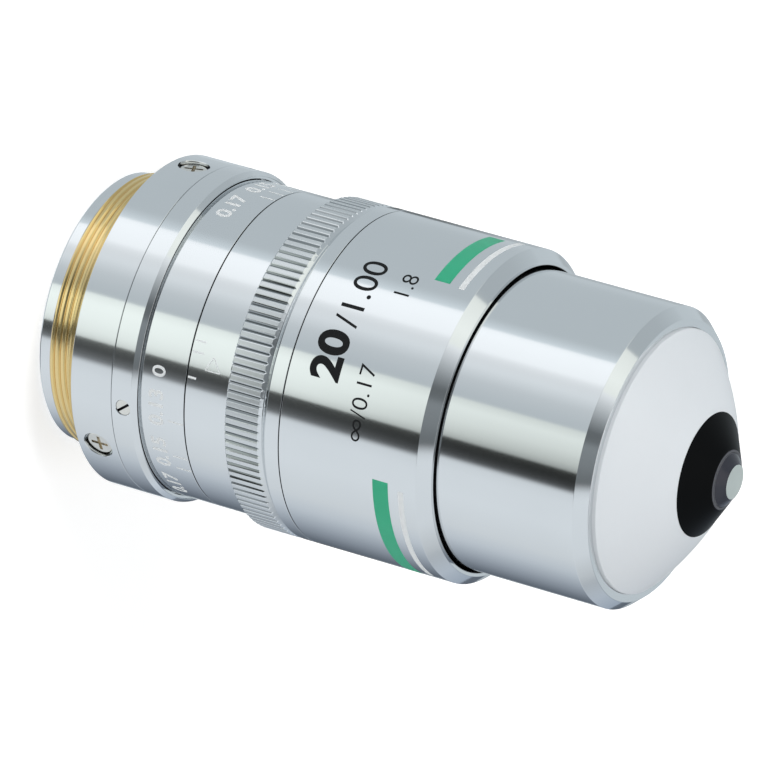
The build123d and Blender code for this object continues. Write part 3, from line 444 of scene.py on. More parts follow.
def rounded_outline(corners, radius):
    """Replace each corner by an arc of the given radius and return points and outward normals.

    With unit vectors a and b from a corner to its neighbours and an angle w between them, the arc
    touches both sides at t = radius / tan(w / 2), and its centre is at radius / sin(w / 2) along
    a + b. The outline is taken anticlockwise, so its outside lies to the right of the way along it.
    """
    p = np.array(corners, float)
    turn = np.roll(p, -1, 0)
    area = np.sum(p[:, 0] * turn[:, 1] - turn[:, 0] * p[:, 1])
    p = p if area > 0 else p[::-1]
    a, b = np.roll(p, 1, 0) - p, np.roll(p, -1, 0) - p
    shortest = np.minimum(np.linalg.norm(a, axis=1), np.linalg.norm(b, axis=1))
    a, b = unit(a), unit(b)
    half = np.arccos(np.clip(np.sum(a * b, 1), -1, 1)) / 2
    touch = np.minimum(radius / np.tan(half), 0.4 * shortest)
    r = touch * np.tan(half)
    centre = p + unit(a + b) * (r / np.sin(half))[:, None]
    start = (p + a * touch[:, None] - centre) / r[:, None]
    end = (p + b * touch[:, None] - centre) / r[:, None]
    sweep = np.pi - 2 * half
    s = np.linspace(0, 1, ARC_STEPS + 1)[None, :, None]
    w = sweep[:, None, None]
    arc = (np.sin((1 - s) * w) * start[:, None] + np.sin(s * w) * end[:, None]) / np.sin(w)
    convex = np.sign(b[:, 0] * a[:, 1] - b[:, 1] * a[:, 0])[:, None, None]
    points = centre[:, None] + r[:, None, None] * arc
    return points.reshape(-1, 2), (arc * convex).reshape(-1, 2)


test_points = rounded_outline([(1, 0), (2, 0), (2, 1), (1, 1)], 0.1)[0]
print("a square outline gives", len(test_points), "points; its widest is", round(test_points[:, 0].max(), 3))

# %% [markdown]
# The outline is then swept round: point i at azimuth j sits at (r cos t, r sin t, z). The last column
# joins the first, and so does the last row, so the skin is closed like a doughnut.

# %% From an outline to a mesh
COLUMNS = 384


def circle(columns):
    """Azimuths that divide a full turn evenly."""
    return np.arange(columns) * 2 * np.pi / columns


def around(r, z, t):
    """Points (r cos t, r sin t, z) for arrays that broadcast together, as one list."""
    r, z, t = np.broadcast_arrays(r, z, t)
    return np.stack([r * np.cos(t), r * np.sin(t), z], -1).reshape(-1, 3)


def grid_faces(rows, columns, open_rows=0, open_columns=0, inward=False):
    """Quads of a grid that face outwards, closed both ways unless open_rows or open_columns is 1."""
    i, j = np.meshgrid(np.arange(rows - open_rows), np.arange(columns - open_columns), indexing="ij")
    k, l = (i + 1) % rows, (j + 1) % columns
    corners = [i * columns + j, i * columns + l, k * columns + l, k * columns + j]
    if inward:
        corners[1], corners[3] = corners[3], corners[1]
    return np.stack(corners, -1).reshape(-1, 4)


def mesh_object(name, points, faces, material, normals=None, sharp=None):
    """A mesh from arrays in millimetres. normals are per point; sharp is an angle in degrees."""
    mesh = bpy.data.meshes.new(name)
    mesh.from_pydata((points * MM).tolist(), [], faces.tolist())
    mesh.polygons.foreach_set("use_smooth", np.ones(len(mesh.polygons), bool))
    mesh.update()
    if normals is not None:
        mesh.normals_split_custom_set_from_vertices(normals.tolist())
    if sharp is not None:
        mesh.set_sharp_from_angle(angle=math.radians(sharp))
    mesh.materials.append(material)
    return add_object(name, mesh)


def turned(name, corners, material, edge, columns=COLUMNS):
    """A turned ring: the rounded outline carried round the axis."""
    outline, slope = rounded_outline(corners, edge)
    t = circle(columns)
    points = around(outline[:, :1], outline[:, 1:], t)
    normals = around(slope[:, :1], slope[:, 1:], t)
    return mesh_object(name, points, grid_faces(len(outline), columns), material, normals)


def dress(piece, body, slot, *nodes):
    """Let a piece ride on its body and stand for its CAD nodes."""
    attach(piece, body)
    if nodes:
        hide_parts(*nodes)
    print(piece.name, "has", len(piece.data.polygons), "faces and rides on", body)


print("a turned skin has", COLUMNS, "columns")

# %% [markdown]
# ## Rear housing and lock ring
#
# Both rings carry screws that sit below the surface. The holes are cut with a Boolean against cutters
# whose rims follow the curve of the barrel, so a hole has the same small bevel all the way round. The
# faces then get their normals worked out again from the axis.

# %% Cutters that follow the barrel
PLUG_STANDS_OUT = 0.8


def draped_cutter(azimuth, hole_r, floor_r, height, bevel, columns):
    """A closed plug for a hole in a barrel.

    Ring by ring it has a distance q from the hole's middle and a depth d under the barrel, where a
    point at q sin(a) round the barrel lies at (SKIN_R^2 - (q sin a)^2)^0.5 - d from the axis.
    """
    q = np.array([0.0, hole_r, hole_r, hole_r, hole_r + bevel, hole_r + 3 * bevel, 0.0])
    depth = np.array([0, 0, 0.6, bevel, 0, -2 * bevel, 0])
    a = circle(columns)
    side = q[:, None] * np.sin(a)
    up = q[:, None] * np.cos(a)
    out = np.sqrt(SKIN_R ** 2 - side ** 2) - depth[:, None]
    out[:2] = floor_r
    out[2] = np.minimum(out[2], floor_r + 0.6 * (SKIN_R - floor_r))
    out[-1] = SKIN_R + PLUG_STANDS_OUT
    t = math.radians(azimuth)
    x = out * math.cos(t) - side * math.sin(t)
    y = out * math.sin(t) + side * math.cos(t)
    points = np.stack([x, y, up + height], -1).reshape(-1, 3)
    cutter = mesh_object("bore", points, grid_faces(len(q), columns, open_rows=1, inward=True), steel)
    weld(cutter)
    return cutter


def three_cutters(first_azimuth, **sizes):
    """The same plug three times, a third of a turn apart."""
    return [draped_cutter(first_azimuth + 120 * n, **sizes) for n in range(3)]


def weld(piece):
    """Merge doubled points and turn the faces outwards."""
    work = bmesh.new()
    work.from_mesh(piece.data)
    bmesh.ops.remove_doubles(work, verts=work.verts, dist=1e-7)
    bmesh.ops.recalc_face_normals(work, faces=work.faces)
    work.to_mesh(piece.data)
    work.free()


print("a cutter stands", PLUG_STANDS_OUT, "mm out of the barrel that it cuts")

# %% Cutting, and the normals of what is left
def evaluated_mesh(piece):
    """A new mesh of a piece with its modifiers, or of a text."""
    bpy.context.view_layer.update()
    return bpy.data.meshes.new_from_object(piece.evaluated_get(bpy.context.evaluated_depsgraph_get()))


def cut(piece, cutters):
    """Take the cutters away from the piece, keep the result as its mesh and delete the cutters."""
    for cutter in cutters:
        bore = piece.modifiers.new("bore", "BOOLEAN")
        bore.object, bore.operation, bore.solver = cutter, "DIFFERENCE", "EXACT"
    done = evaluated_mesh(piece)
    piece.modifiers.clear()
    piece.data = done
    for cutter in cutters:
        bpy.data.objects.remove(cutter)
    turned_normals(piece.data)


def values_of(items, key, width, kind=float):
    """One property of all faces, corners or points of a mesh as an array."""
    values = np.empty(len(items) * width, kind)
    items.foreach_get(key, values)
    return values.reshape(-1, width)


def turned_normals(mesh):
    """Corner normals of turned faces: the face's slope (radial, axial) at each corner's azimuth.

    A face whose normal has a part round the axis was cut by a drill and keeps its flat normal.
    """
    normal, centre = values_of(mesh.polygons, "normal", 3), values_of(mesh.polygons, "center", 3)
    totals = values_of(mesh.polygons, "loop_total", 1, int).ravel()
    corner = values_of(mesh.loops, "vertex_index", 1, int).ravel()
    place = values_of(mesh.vertices, "co", 3)
    out = unit(centre[:, :2] + 1e-12)
    radial = np.sum(normal[:, :2] * out, 1)
    tangential = normal[:, 1] * out[:, 0] - normal[:, 0] * out[:, 1]
    owner = np.repeat(np.arange(len(totals)), totals)
    here = unit(place[corner][:, :2] + 1e-12)
    smooth = np.column_stack([here * radial[owner][:, None], normal[owner][:, 2]])
    kept = np.where((np.abs(tangential) < 0.02)[owner][:, None], unit(smooth), normal[owner])
    mesh.normals_split_custom_set(kept.tolist())


def ring(node, corners, material, edge, slot="chrome", columns=COLUMNS, cutters=()):
    """The skin of a turned node, less its holes."""
    piece = turned(node + "_surface", corners, material, edge, columns)
    if cutters:
        cut(piece, cutters)
    dress(piece, "housing", slot, node)


print("a cut keeps the normals of the turned faces")

# %% Housing with its three counterbores
SPIGOT_R, RELIEF_R, RELIEF_Z = 14.40, 16.12, 0.29
SHOULDER_R, CONE_TOP_Z = 16.85, 2.02
bores = three_cutters(-36.6, hole_r=1.81, floor_r=17.99, height=4.65, bevel=0.04, columns=64)
ring("rear_housing", [
    (SPIGOT_R, RELIEF_Z), (RELIEF_R, RELIEF_Z), (RELIEF_R, SHOULDER_Z), (SHOULDER_R, SHOULDER_Z),
    (SKIN_R, CONE_TOP_Z), (SKIN_R, HOUSING_Z), (SPIGOT_R, HOUSING_Z)], chrome, 0.07, cutters=bores)

# %% Lock ring with its set-screw holes
LIP_R, STEP_R, STEP_Z = 18.74, 18.42, 10.22
FIT_R, NEST_R, NEST_Z, NEST_FRONT_Z = 16.01, 17.20, 7.99, 9.63
bores = three_cutters(-56.5, hole_r=0.94, floor_r=17.25, height=8.81, bevel=0.06, columns=40)
ring("rear_lock_ring", [
    (FIT_R, LOCK_Z), (SKIN_R, LOCK_Z), (SKIN_R, 9.87), (LIP_R, LOCK_FRONT_Z), (LIP_R, STEP_Z),
    (STEP_R, STEP_Z), (STEP_R, NEST_FRONT_Z), (NEST_R, NEST_FRONT_Z), (NEST_R, NEST_Z), (FIT_R, NEST_Z)],
    chrome, 0.04, cutters=bores)

# %% [markdown]
# ## Plain barrels and rings
#
# The scale ring, the ring in front of the grip, the two barrels, the ceramic cone and the tip cell are
# plain turned shapes. Each takes its outline from the CAD sizes and its own inner radius, below which
# the finish is black, so that the fine gaps between rings read as dark lines. The step inside the lock
# ring's bevel and the lip at the mouth of the outer barrel are in the photo and not in the CAD.

# %% Scale ring, collar retainer and barrels
SKIRT_R, BAND_Z = 17.17, 9.97
BAND_BEVEL, WALL_Z = 0.29, SCALE_FRONT_Z - 0.54
ring("scale_ring", [
    (FIT_R, SCALE_REAR_Z), (SKIRT_R, SCALE_REAR_Z), (SKIRT_R, BAND_Z), (SCALE_SKIN_R - BAND_BEVEL, BAND_Z),
    (SCALE_SKIN_R, BAND_Z + BAND_BEVEL), (SCALE_SKIN_R, SCALE_FRONT_Z), (BORE_R, SCALE_FRONT_Z),
    (BORE_R, WALL_Z), (FIT_R, WALL_Z)], chrome, 0.04)

HUB_R, HUB_Z, HUB_BEVEL = 13.79, RETAINER_Z + 0.29, 0.24
ring_chrome = satin_chrome("ring_chrome", BARREL_R - 0.65)
ring("collar_retainer", [
    (BORE_R, RETAINER_Z), (HUB_R, RETAINER_Z), (HUB_R, HUB_Z), (SKIN_R - HUB_BEVEL, HUB_Z),
    (SKIN_R, HUB_Z + HUB_BEVEL), (SKIN_R, RETAINER_FRONT_Z), (BORE_R, RETAINER_FRONT_Z)], ring_chrome, 0.05)

FACE_R, OUTER_BORE_R, OUTER_WALL_Z = 15.895, 18.02, 31.09
OUTER_BAND_Z, OUTER_BEVEL_Z = OUTER_Z + 0.12, OUTER_FRONT_Z - 1.33
OUTER_LIP_R, OUTER_LIP_Z = 17.58, OUTER_FRONT_Z - 0.6
outer_chrome = satin_chrome("outer_chrome", OUTER_LIP_R + 0.02)
ring("outer_barrel", [
    (BORE_R, OUTER_Z), (FACE_R, OUTER_Z), (FACE_R, OUTER_BAND_Z), (SKIN_R, OUTER_BAND_Z),
    (SKIN_R, OUTER_BEVEL_Z), (OUTER_BORE_R, OUTER_FRONT_Z), (OUTER_LIP_R, OUTER_FRONT_Z),
    (OUTER_LIP_R, OUTER_LIP_Z), (OUTER_BORE_R, OUTER_LIP_Z), (OUTER_BORE_R, OUTER_WALL_Z),
    (BORE_R, OUTER_WALL_Z)], outer_chrome, 0.05)

SEAT_R, RIM_R, SHELF_R, NOSE_BORE_R = 15.14, 16.08, 14.56, 15.82
NOSE_BEVEL_Z, SEAT_Z, SHELF_Z, NOSE_WALL_Z = NOSE_FRONT_Z - 1.34, 61.67, 60.23, 33.98
nose_chrome = satin_chrome("nose_chrome", SEAT_R - 0.06)
ring("nose_barrel", [
    (BORE_R, NOSE_Z), (NOSE_R, NOSE_Z), (NOSE_R, NOSE_BEVEL_Z), (RIM_R, NOSE_FRONT_Z),
    (SEAT_R, NOSE_FRONT_Z), (SEAT_R, SEAT_Z), (SHELF_R, SEAT_Z), (SHELF_R, SHELF_Z),
    (NOSE_BORE_R, SHELF_Z), (NOSE_BORE_R, NOSE_WALL_Z), (BORE_R, NOSE_WALL_Z)], nose_chrome, 0.06)

# %% [markdown]
# ## Ceramic cone and black tip
#
# The ceramic is ground, so its edges are rounder than those of the metal. Its foot stands a little out
# of the nose barrel and its side bulges slightly, as in the photo's outline. The tip cell goes on along
# the cone's line to the front lens, which stands out of it.

# %% Cone and tip
SHANK_R, LAND_Z = 5.77, CERAMIC_FRONT_Z - 2.31
CERAMIC_BORE_R, GROOVE_R = 13.28, 14.25
GROOVE_LOW_Z, GROOVE_HIGH_Z = 62.64, 63.58
CONE_BULGE, EDGE_RISE = 0.28, 0.38
CONE_FOOT = (CERAMIC_R - 0.03, NOSE_FRONT_Z + EDGE_RISE)


def cone_arc(foot, top, bulge, steps=12):
    """Places between foot and top on a shallow arc that stands out from the chord by the bulge.

    At a share s of the chord the place lies 4 bulge s (1 - s) out along the chord's normal.
    """
    foot, top = np.array(foot), np.array(top)
    out = unit(np.array([[top[1] - foot[1], foot[0] - top[0]]]))
    s = np.linspace(0, 1, steps + 1)[1:-1, None]
    return foot + (top - foot) * s + 4 * bulge * s * (1 - s) * out


ring("ceramic_nose", [
    (CERAMIC_BORE_R, CERAMIC_Z), (CERAMIC_R, CERAMIC_Z), (CERAMIC_R, GROOVE_LOW_Z),
    (GROOVE_R, GROOVE_LOW_Z), (GROOVE_R, GROOVE_HIGH_Z), (CERAMIC_R, GROOVE_HIGH_Z),
    (CERAMIC_R, NOSE_FRONT_Z), CONE_FOOT, *cone_arc(CONE_FOOT, (TIP_R, CERAMIC_FRONT_Z), CONE_BULGE),
    (TIP_R, CERAMIC_FRONT_Z), (SHANK_R, CERAMIC_FRONT_Z), (SHANK_R, LAND_Z), (TIP_R, LAND_Z),
    (CERAMIC_BORE_R, 65.4)], ceramic, 0.12, "ceramic")

CELL_R, CELL_LAND_Z, CELL_SHANK_R = 4.75, 68.12, 5.68
LENS_SEAT_Z, LENS_BACK_R, CELL_CLEAR_R = 73.65, 2.60, LENS_R + 0.03
ring("tip_cell", [
    (CELL_R, TIP_Z), (CELL_SHANK_R, TIP_Z), (CELL_SHANK_R, CERAMIC_FRONT_Z), (TIP_R, CERAMIC_FRONT_Z),
    (LENS_R + 0.24, TIP_FRONT_Z), (CELL_CLEAR_R, TIP_FRONT_Z), (CELL_CLEAR_R, LENS_SEAT_Z),
    (LENS_BACK_R, LENS_SEAT_Z), (3.76, CELL_LAND_Z), (CELL_R, CELL_LAND_Z)],
    tip_finish, 0.03, "black_metal", 256)

# %% [markdown]
# ## The mounting thread
#
# The CAD thread is a plain cylinder over the crests. Here the thread zone gets many rows, and each
# point moves inwards by the depth of a shallow thread at its place on the helix: the phase is
# z / pitch - azimuth / 360, so one turn round the ring is one pitch along it.

# %% Thread as a helical field
PITCH, RUN_OUT, LEAD_IN, FLAT_SHARE = 0.75, 0.30, 0.25, 0.42


def thread_radius(z, t):
    """Crest radius less depth x flank, where the flank rises from 0 to 1 between the flats.

    With a phase f in 0..1 and the flats' share c the flank is (|2 f - 1| - c) / c, held between 0
    and 1. It fades to nothing over RUN_OUT mm at both ends, and the first LEAD_IN mm are chamfered.
    """
    phase = (z / PITCH - t / (2 * np.pi)) % 1.0
    flank = np.clip((np.abs(2 * phase - 1) - FLAT_SHARE) / FLAT_SHARE, 0, 1)
    fade = np.clip((z - THREAD_START_Z) / RUN_OUT, 0, 1) * np.clip((THREAD_END_Z - z) / RUN_OUT, 0, 1)
    lead = LEAD_IN * np.clip(1 - (z - THREAD_START_Z) / LEAD_IN, 0, 1)
    return THREAD_R - lead - THREAD_DEPTH * flank * fade


def grid_object(name, rows, t, material, sharp):
    """A closed grid from rows (radius, height), where each is a number or one value a column."""
    radius, height = [np.vstack([np.broadcast_to(v, t.shape) for v in part]) for part in zip(*rows)]
    return mesh_object(name, around(radius, height, t), grid_faces(len(rows), t.size), material, sharp=sharp)


MOUNT_BORE_R, MOUNT_WALL_Z = 11.55, 0.48
PILOT_R, NECK_R, END_BEVEL, TIGHT_R = 15.69, 15.45, 0.25, SPIGOT_R - 0.03
t = circle(360)[None]
mount = grid_object("mount_ring_surface", [
    (MOUNT_BORE_R, MOUNT_WALL_Z), (MOUNT_BORE_R, REAR_Z + END_BEVEL), (MOUNT_BORE_R + END_BEVEL, REAR_Z),
    (PILOT_R - END_BEVEL, REAR_Z), (PILOT_R, REAR_Z + END_BEVEL), (PILOT_R, THREAD_START_Z),
    *[(thread_radius(z, t), z) for z in np.linspace(THREAD_START_Z, THREAD_END_Z, 90)],
    (NECK_R, THREAD_END_Z + 0.01), (NECK_R, RELIEF_Z), (TIGHT_R, RELIEF_Z), (TIGHT_R, SPIGOT_Z),
    (BORE_R, SPIGOT_Z), (BORE_R, MOUNT_WALL_Z)], t, brass, 38)
dress(mount, "housing", "brass_thread", "mount_ring")

# %% [markdown]
# ## Correction collar with its ridged grip
#
# The grip has 120 straight ridges. Each column of the grid has its own radius, crest or groove, and runs
# forward until it meets the bevel, where r = R - k (z - z0). A groove meets it further on than a crest,
# so each ridge ends in a point, as on the real grip.

# %% Ridges as columns of a grid
RIDGES = 120
TOP_SLOPE, ROOT_SLOPE = 0.40, 1.10
CREST_SHARE = 0.46
GRIP_Z, GRIP_BEVEL, BEVEL_LENGTH, BEVEL_DROP = 21.97, 0.21, 0.67, 0.60
BEVEL_Z = COLLAR_FRONT_Z - BEVEL_LENGTH
WEB_Z, WEB_FRONT_Z, WEB_BORE_R, COLLAR_BORE_R = 19.78, 23.34, 14.23, 16.81


def ridge_columns(t):
    """Radius of the grip at azimuth t: a flat crest and a V groove whose flanks grow steeper inwards.

    With u the distance from the crest's middle in half pitches and c the crest's share, the way down
    a flank is w = (u - c) / (1 - c). For a flank of width b whose slope goes from p to q, the radius is
    R - b (p w + (q - p) w^2 / 2).
    """
    u = np.abs(((t * RIDGES / (2 * np.pi) + 0.5) % 1.0) * 2 - 1)
    w = np.clip((u - CREST_SHARE) / (1 - CREST_SHARE), 0, 1)
    width = (1 - CREST_SHARE) * np.pi * SKIN_R / RIDGES
    return SKIN_R - width * (TOP_SLOPE * w + (ROOT_SLOPE - TOP_SLOPE) * w * w / 2)


half = [0.42, CREST_SHARE, 0.59, 0.72, 0.85, 0.97]
shares = np.array([-1.0, *[-share for share in half[::-1]], 0.0, *half])
t = ((np.arange(RIDGES)[:, None] + shares[None] / 2) * 2 * np.pi / RIDGES).reshape(1, -1)
ridge = ridge_columns(t)
meet = BEVEL_Z + (SKIN_R - ridge) * BEVEL_LENGTH / BEVEL_DROP
face_r = SKIN_R - BEVEL_DROP
# the grooves of the grip get painted shade between these two heights
collar_chrome = satin_chrome("collar_chrome", SCALE_R - 0.3, BARREL_R - 0.03, (GRIP_Z + 0.05, BEVEL_Z))
collar = grid_object("correction_collar_surface", [
    (COLLAR_BORE_R, COLLAR_Z), (SCALE_SKIN_R - 0.05, COLLAR_Z), (SCALE_SKIN_R, COLLAR_Z + 0.05),
    (SCALE_SKIN_R, GRIP_Z - 0.01), (SCALE_SKIN_R, GRIP_Z), (np.minimum(ridge, SKIN_R - GRIP_BEVEL), GRIP_Z),
    (ridge, GRIP_Z + GRIP_BEVEL), (ridge, meet - 0.04), (ridge - 0.012, meet + 0.012),
    (face_r, COLLAR_FRONT_Z - 0.04), (face_r - 0.06, COLLAR_FRONT_Z), (COLLAR_BORE_R, COLLAR_FRONT_Z),
    (COLLAR_BORE_R, WEB_FRONT_Z), (WEB_BORE_R, WEB_FRONT_Z), (WEB_BORE_R, WEB_Z),
    (COLLAR_BORE_R, WEB_Z)], t, collar_chrome, 24)
dress(collar, "collar", "chrome", "correction_collar")

# %% [markdown]
# ## Markings
#
# Numbers and lines are engraved and filled with enamel. A text object is made a thin solid, sliced into
# narrow strips so that it can bend, and each point (x, y, h) of it goes to azimuth a - x / R, height
# z - y and radius R + h. Azimuths of markings are counted from the side that faces the camera.

# %% Lettering bent round a barrel
FILL_DEPTH = 0.03
SLICE = 0.3


def from_front(degrees):
    """An azimuth in radians for one that is counted from the side that faces the camera."""
    return np.radians(degrees - 90)


def glyphs(name, text, cap_height, weight, stretch):
    """A flat solid text in millimetres, from x = 0, standing on y = 0."""
    curve = bpy.data.curves.new(name, "FONT")
    curve.body, curve.resolution_u, curve.extrude, curve.offset = text, 6, 0.5, weight
    flat = add_object(name, curve)
    mesh = evaluated_mesh(flat)
    bpy.data.objects.remove(flat)
    work = bmesh.new()
    work.from_mesh(mesh)
    bmesh.ops.remove_doubles(work, verts=work.verts, dist=1e-5)
    points = np.array([v.co for v in work.verts])
    low, high = points.min(0), points.max(0)
    scale = cap_height / (high[1] - low[1])
    sizes = Matrix.Diagonal((scale * stretch, scale, FILL_DEPTH, 1.0))
    bmesh.ops.transform(work, verts=work.verts, matrix=sizes @ Matrix.Translation((-low[0], -low[1], -0.5)))
    width = (high[0] - low[0]) * scale * stretch
    for x in np.arange(SLICE, width, SLICE):
        bmesh.ops.bisect_plane(work, geom=work.verts[:] + work.edges[:] + work.faces[:], dist=1e-6,
                               plane_co=(x, 0, 0), plane_no=(1, 0, 0))
    bmesh.ops.triangulate(work, faces=work.faces)
    work.to_mesh(mesh)
    work.free()
    return mesh, width


def lettering(name, text, cap_height, azimuth, foot_z, weight, stretch, radius, material):
    """Text bent round a barrel; azimuth is where it starts, from the photo's side."""
    mesh, width = glyphs(name, text, cap_height, weight, stretch)
    points = values_of(mesh.vertices, "co", 3)
    t = from_front(azimuth) - points[:, 0] / radius
    bent = around(radius + points[:, 2], foot_z - points[:, 1], t) * MM
    mesh.vertices.foreach_set("co", bent.ravel())
    mesh.update()
    mesh.materials.clear()
    mesh.materials.append(material)
    print(name, "ends at azimuth", round(azimuth - math.degrees(width / radius), 1))
    dress(add_object(name, mesh), "housing", "chrome")


BIG_FOOT_Z, SMALL_FOOT_Z, SMALL_CAP = 35.38, 39.47, 1.93
for number in (("field_numbers_bold", "20", 3.90, 4.4, BIG_FOOT_Z, 0.035, 1.12),
               ("aperture_numbers", "/1.00", 2.94, -14.5, BIG_FOOT_Z, 0.0, 1.08),
               ("cover_numbers", "∞/0.17", SMALL_CAP, 21.5, SMALL_FOOT_Z, -0.007, 1.08),
               ("distance_numbers", "1.8", SMALL_CAP, -30.5, SMALL_FOOT_Z, -0.007, 1.08)):
    lettering(*number, BARREL_R, black_fill)

# %% [markdown]
# ## Bands and ticks
#
# The coloured bands, the index and the graduations are strokes of enamel. On the unrolled barrel a
# stroke is a straight bar, and rolling it up again turns the distance along it into an angle.

# %% Enamel strokes
STROKE_STEP = 0.35


def stroke_arrays(radius, first, last, width):
    """Points and faces of one stroke between two places (azimuth in degrees, height in mm).

    At a share s the middle is (1 - s) a + s b on the unrolled barrel, with half the width to each
    side of it, and the bar is FILL_DEPTH thick.
    """
    a = np.array([from_front(first[0]) * radius, first[1]])
    b = np.array([from_front(last[0]) * radius, last[1]])
    length = np.linalg.norm(b - a)
    count = max(2, int(length / STROKE_STEP) + 2)
    side = np.array([a[1] - b[1], b[0] - a[0]]) / length * width / 2
    middle = a + np.linspace(0, 1, count)[:, None] * (b - a)
    place = np.stack([middle - side, middle - side, middle + side, middle + side], 1)
    r = radius - FILL_DEPTH * np.array([1, 0, 0, 1])
    points = around(r, place[..., 1], place[..., 0] / radius)
    sides = grid_faces(count, 4, open_rows=1, inward=True)
    end = (count - 1) * 4
    return points, np.vstack([sides, [[0, 1, 2, 3]], [[end + 3, end + 2, end + 1, end]]])


def strokes(name, radius, rows, material, body="housing"):
    """Several strokes as one piece; each row is (first place, last place, width)."""
    points, faces, seen = [], [], 0
    for row in rows:
        p, f = stroke_arrays(radius, *row)
        points.append(p)
        faces.append(f + seen)
        seen += len(p)
    piece = mesh_object(name, np.vstack(points), np.vstack(faces), material, sharp=30)
    weld(piece)
    dress(piece, body, "chrome")


def arc(first, last, low, high):
    """A row for a band round the barrel between two azimuths and two heights."""
    return (first, (low + high) / 2), (last, (low + high) / 2), high - low


def tick(azimuth, low, high, width=0.20):
    """A row for a line along the axis."""
    return (azimuth, low), (azimuth, high), width


print("a stroke bends every", STROKE_STEP, "mm")

# %% Bands of the outer barrel
for name, fill, edges, spans in (("green_band", green_fill, (41.05, 43.0), ((33, 86), (-77, -40))),
                                 ("white_band", white_fill, (44.25, 44.95), ((35, 82), (-80, -39)))):
    strokes(name, BARREL_R, [arc(*ends, *edges) for ends in spans], fill)

# %% [markdown]
# The scale has a zero, two sets of numbers and short lines at the ring's front edge. Its index is the
# line on the collar, with a small open triangle in front of it.

# %% Scale and index
SCALE_FOOT_Z, SCALE_CAP, NUMBER_CAP = 13.55, 1.70, 1.14 * 1.70
TICK_LOW_Z, TICK_HIGH_Z, TICK_STEP = 14.2, 16.1, 6.2
ticks = [tick(-62.5 - n * TICK_STEP, TICK_LOW_Z, TICK_HIGH_Z) for n in range(4)]
ticks += [tick(57.0 - n * TICK_STEP, TICK_LOW_Z, TICK_HIGH_Z) for n in (0, 1, 3.5)]
strokes("scale_ticks", SCALE_R, ticks, white_fill)
for n, number in enumerate(("0.17", "0.15", "0.13")):
    for side, start, step in (("upper", -44.6, 19.6), ("lower", 77.0, 19.3)):
        lettering(f"scale_number_{side}_{n}", number, NUMBER_CAP, start - step * n, SCALE_FOOT_Z,
                  0.026, 1.04, SCALE_R, white_fill)
lettering("scale_zero", "0", SCALE_CAP, 19.6, SCALE_FOOT_Z, 0.012, 1.2, SCALE_R, white_fill)
index_lines = [tick(16.6, 16.45, 17.48, 0.26), tick(7.4, 16.5, 17.9), tick(3.4, 16.5, 17.9)]
strokes("index_marks", SCALE_R, index_lines, white_fill, "collar")
TRIANGLE = [(7.8, 19.27), (12.7, 18.45), (12.7, 20.36)]
triangle_sides = [(TRIANGLE[n - 1], TRIANGLE[n], 0.13) for n in range(3)]
strokes("index_triangle", SCALE_R, triangle_sides, white_fill, "collar")

# %% [markdown]
# ## Front lens
#
# The lens is a flat-ended cone of glass with a domed back. Its outline starts and ends on the axis, so
# the two ends close to a point instead of joining each other.

# %% Lens turned about its own middle
def dome(cap_r, edge_z, rise, steps=14):
    """Arc from the axis to the seat: z = edge + rise - (s - (s^2 - r^2)^0.5) with sphere radius s."""
    s = (cap_r ** 2 + rise ** 2) / (2 * abs(rise))
    r = np.linspace(0, cap_r, steps)
    return np.column_stack([r, edge_z + rise - math.copysign(1, rise) * (s - np.sqrt(s * s - r * r))])


LENS_END_R, LENS_COLUMNS = 1.93, 192
lens_outline = np.vstack([dome(LENS_BACK_R, LENS_SEAT_Z, LENS_Z - LENS_SEAT_Z), [
    (LENS_R, LENS_SEAT_Z), (LENS_R, TIP_FRONT_Z), (LENS_R - 0.03, TIP_FRONT_Z + 0.07),
    (LENS_END_R + 0.06, LENS_FRONT_Z - 0.04), (LENS_END_R - 0.02, LENS_FRONT_Z), (0, LENS_FRONT_Z)]])
points = around(lens_outline[:, :1], lens_outline[:, 1:], circle(LENS_COLUMNS))
faces = grid_faces(len(lens_outline), LENS_COLUMNS, open_rows=1)
front_lens = mesh_object("front_lens_surface", points, faces, front_lens_glass)
weld(front_lens)
front_lens.data.set_sharp_from_angle(angle=math.radians(20))
dress(front_lens, "housing", "glass", "front_lens")

# %% [markdown]
# ## Studio
#
# Chrome shows nothing of its own, only the room. The room here is white, with large cards round the
# object that are seen in the metal alone, as a photographer sets them to draw the shape of a barrel.
# Each is a patch of one big sphere, and its brightness runs evenly between a few given stops.

# %% Cards round the object
CARD_R = 3000.0
CARD_ROWS, CARD_COLUMNS = 24, 40


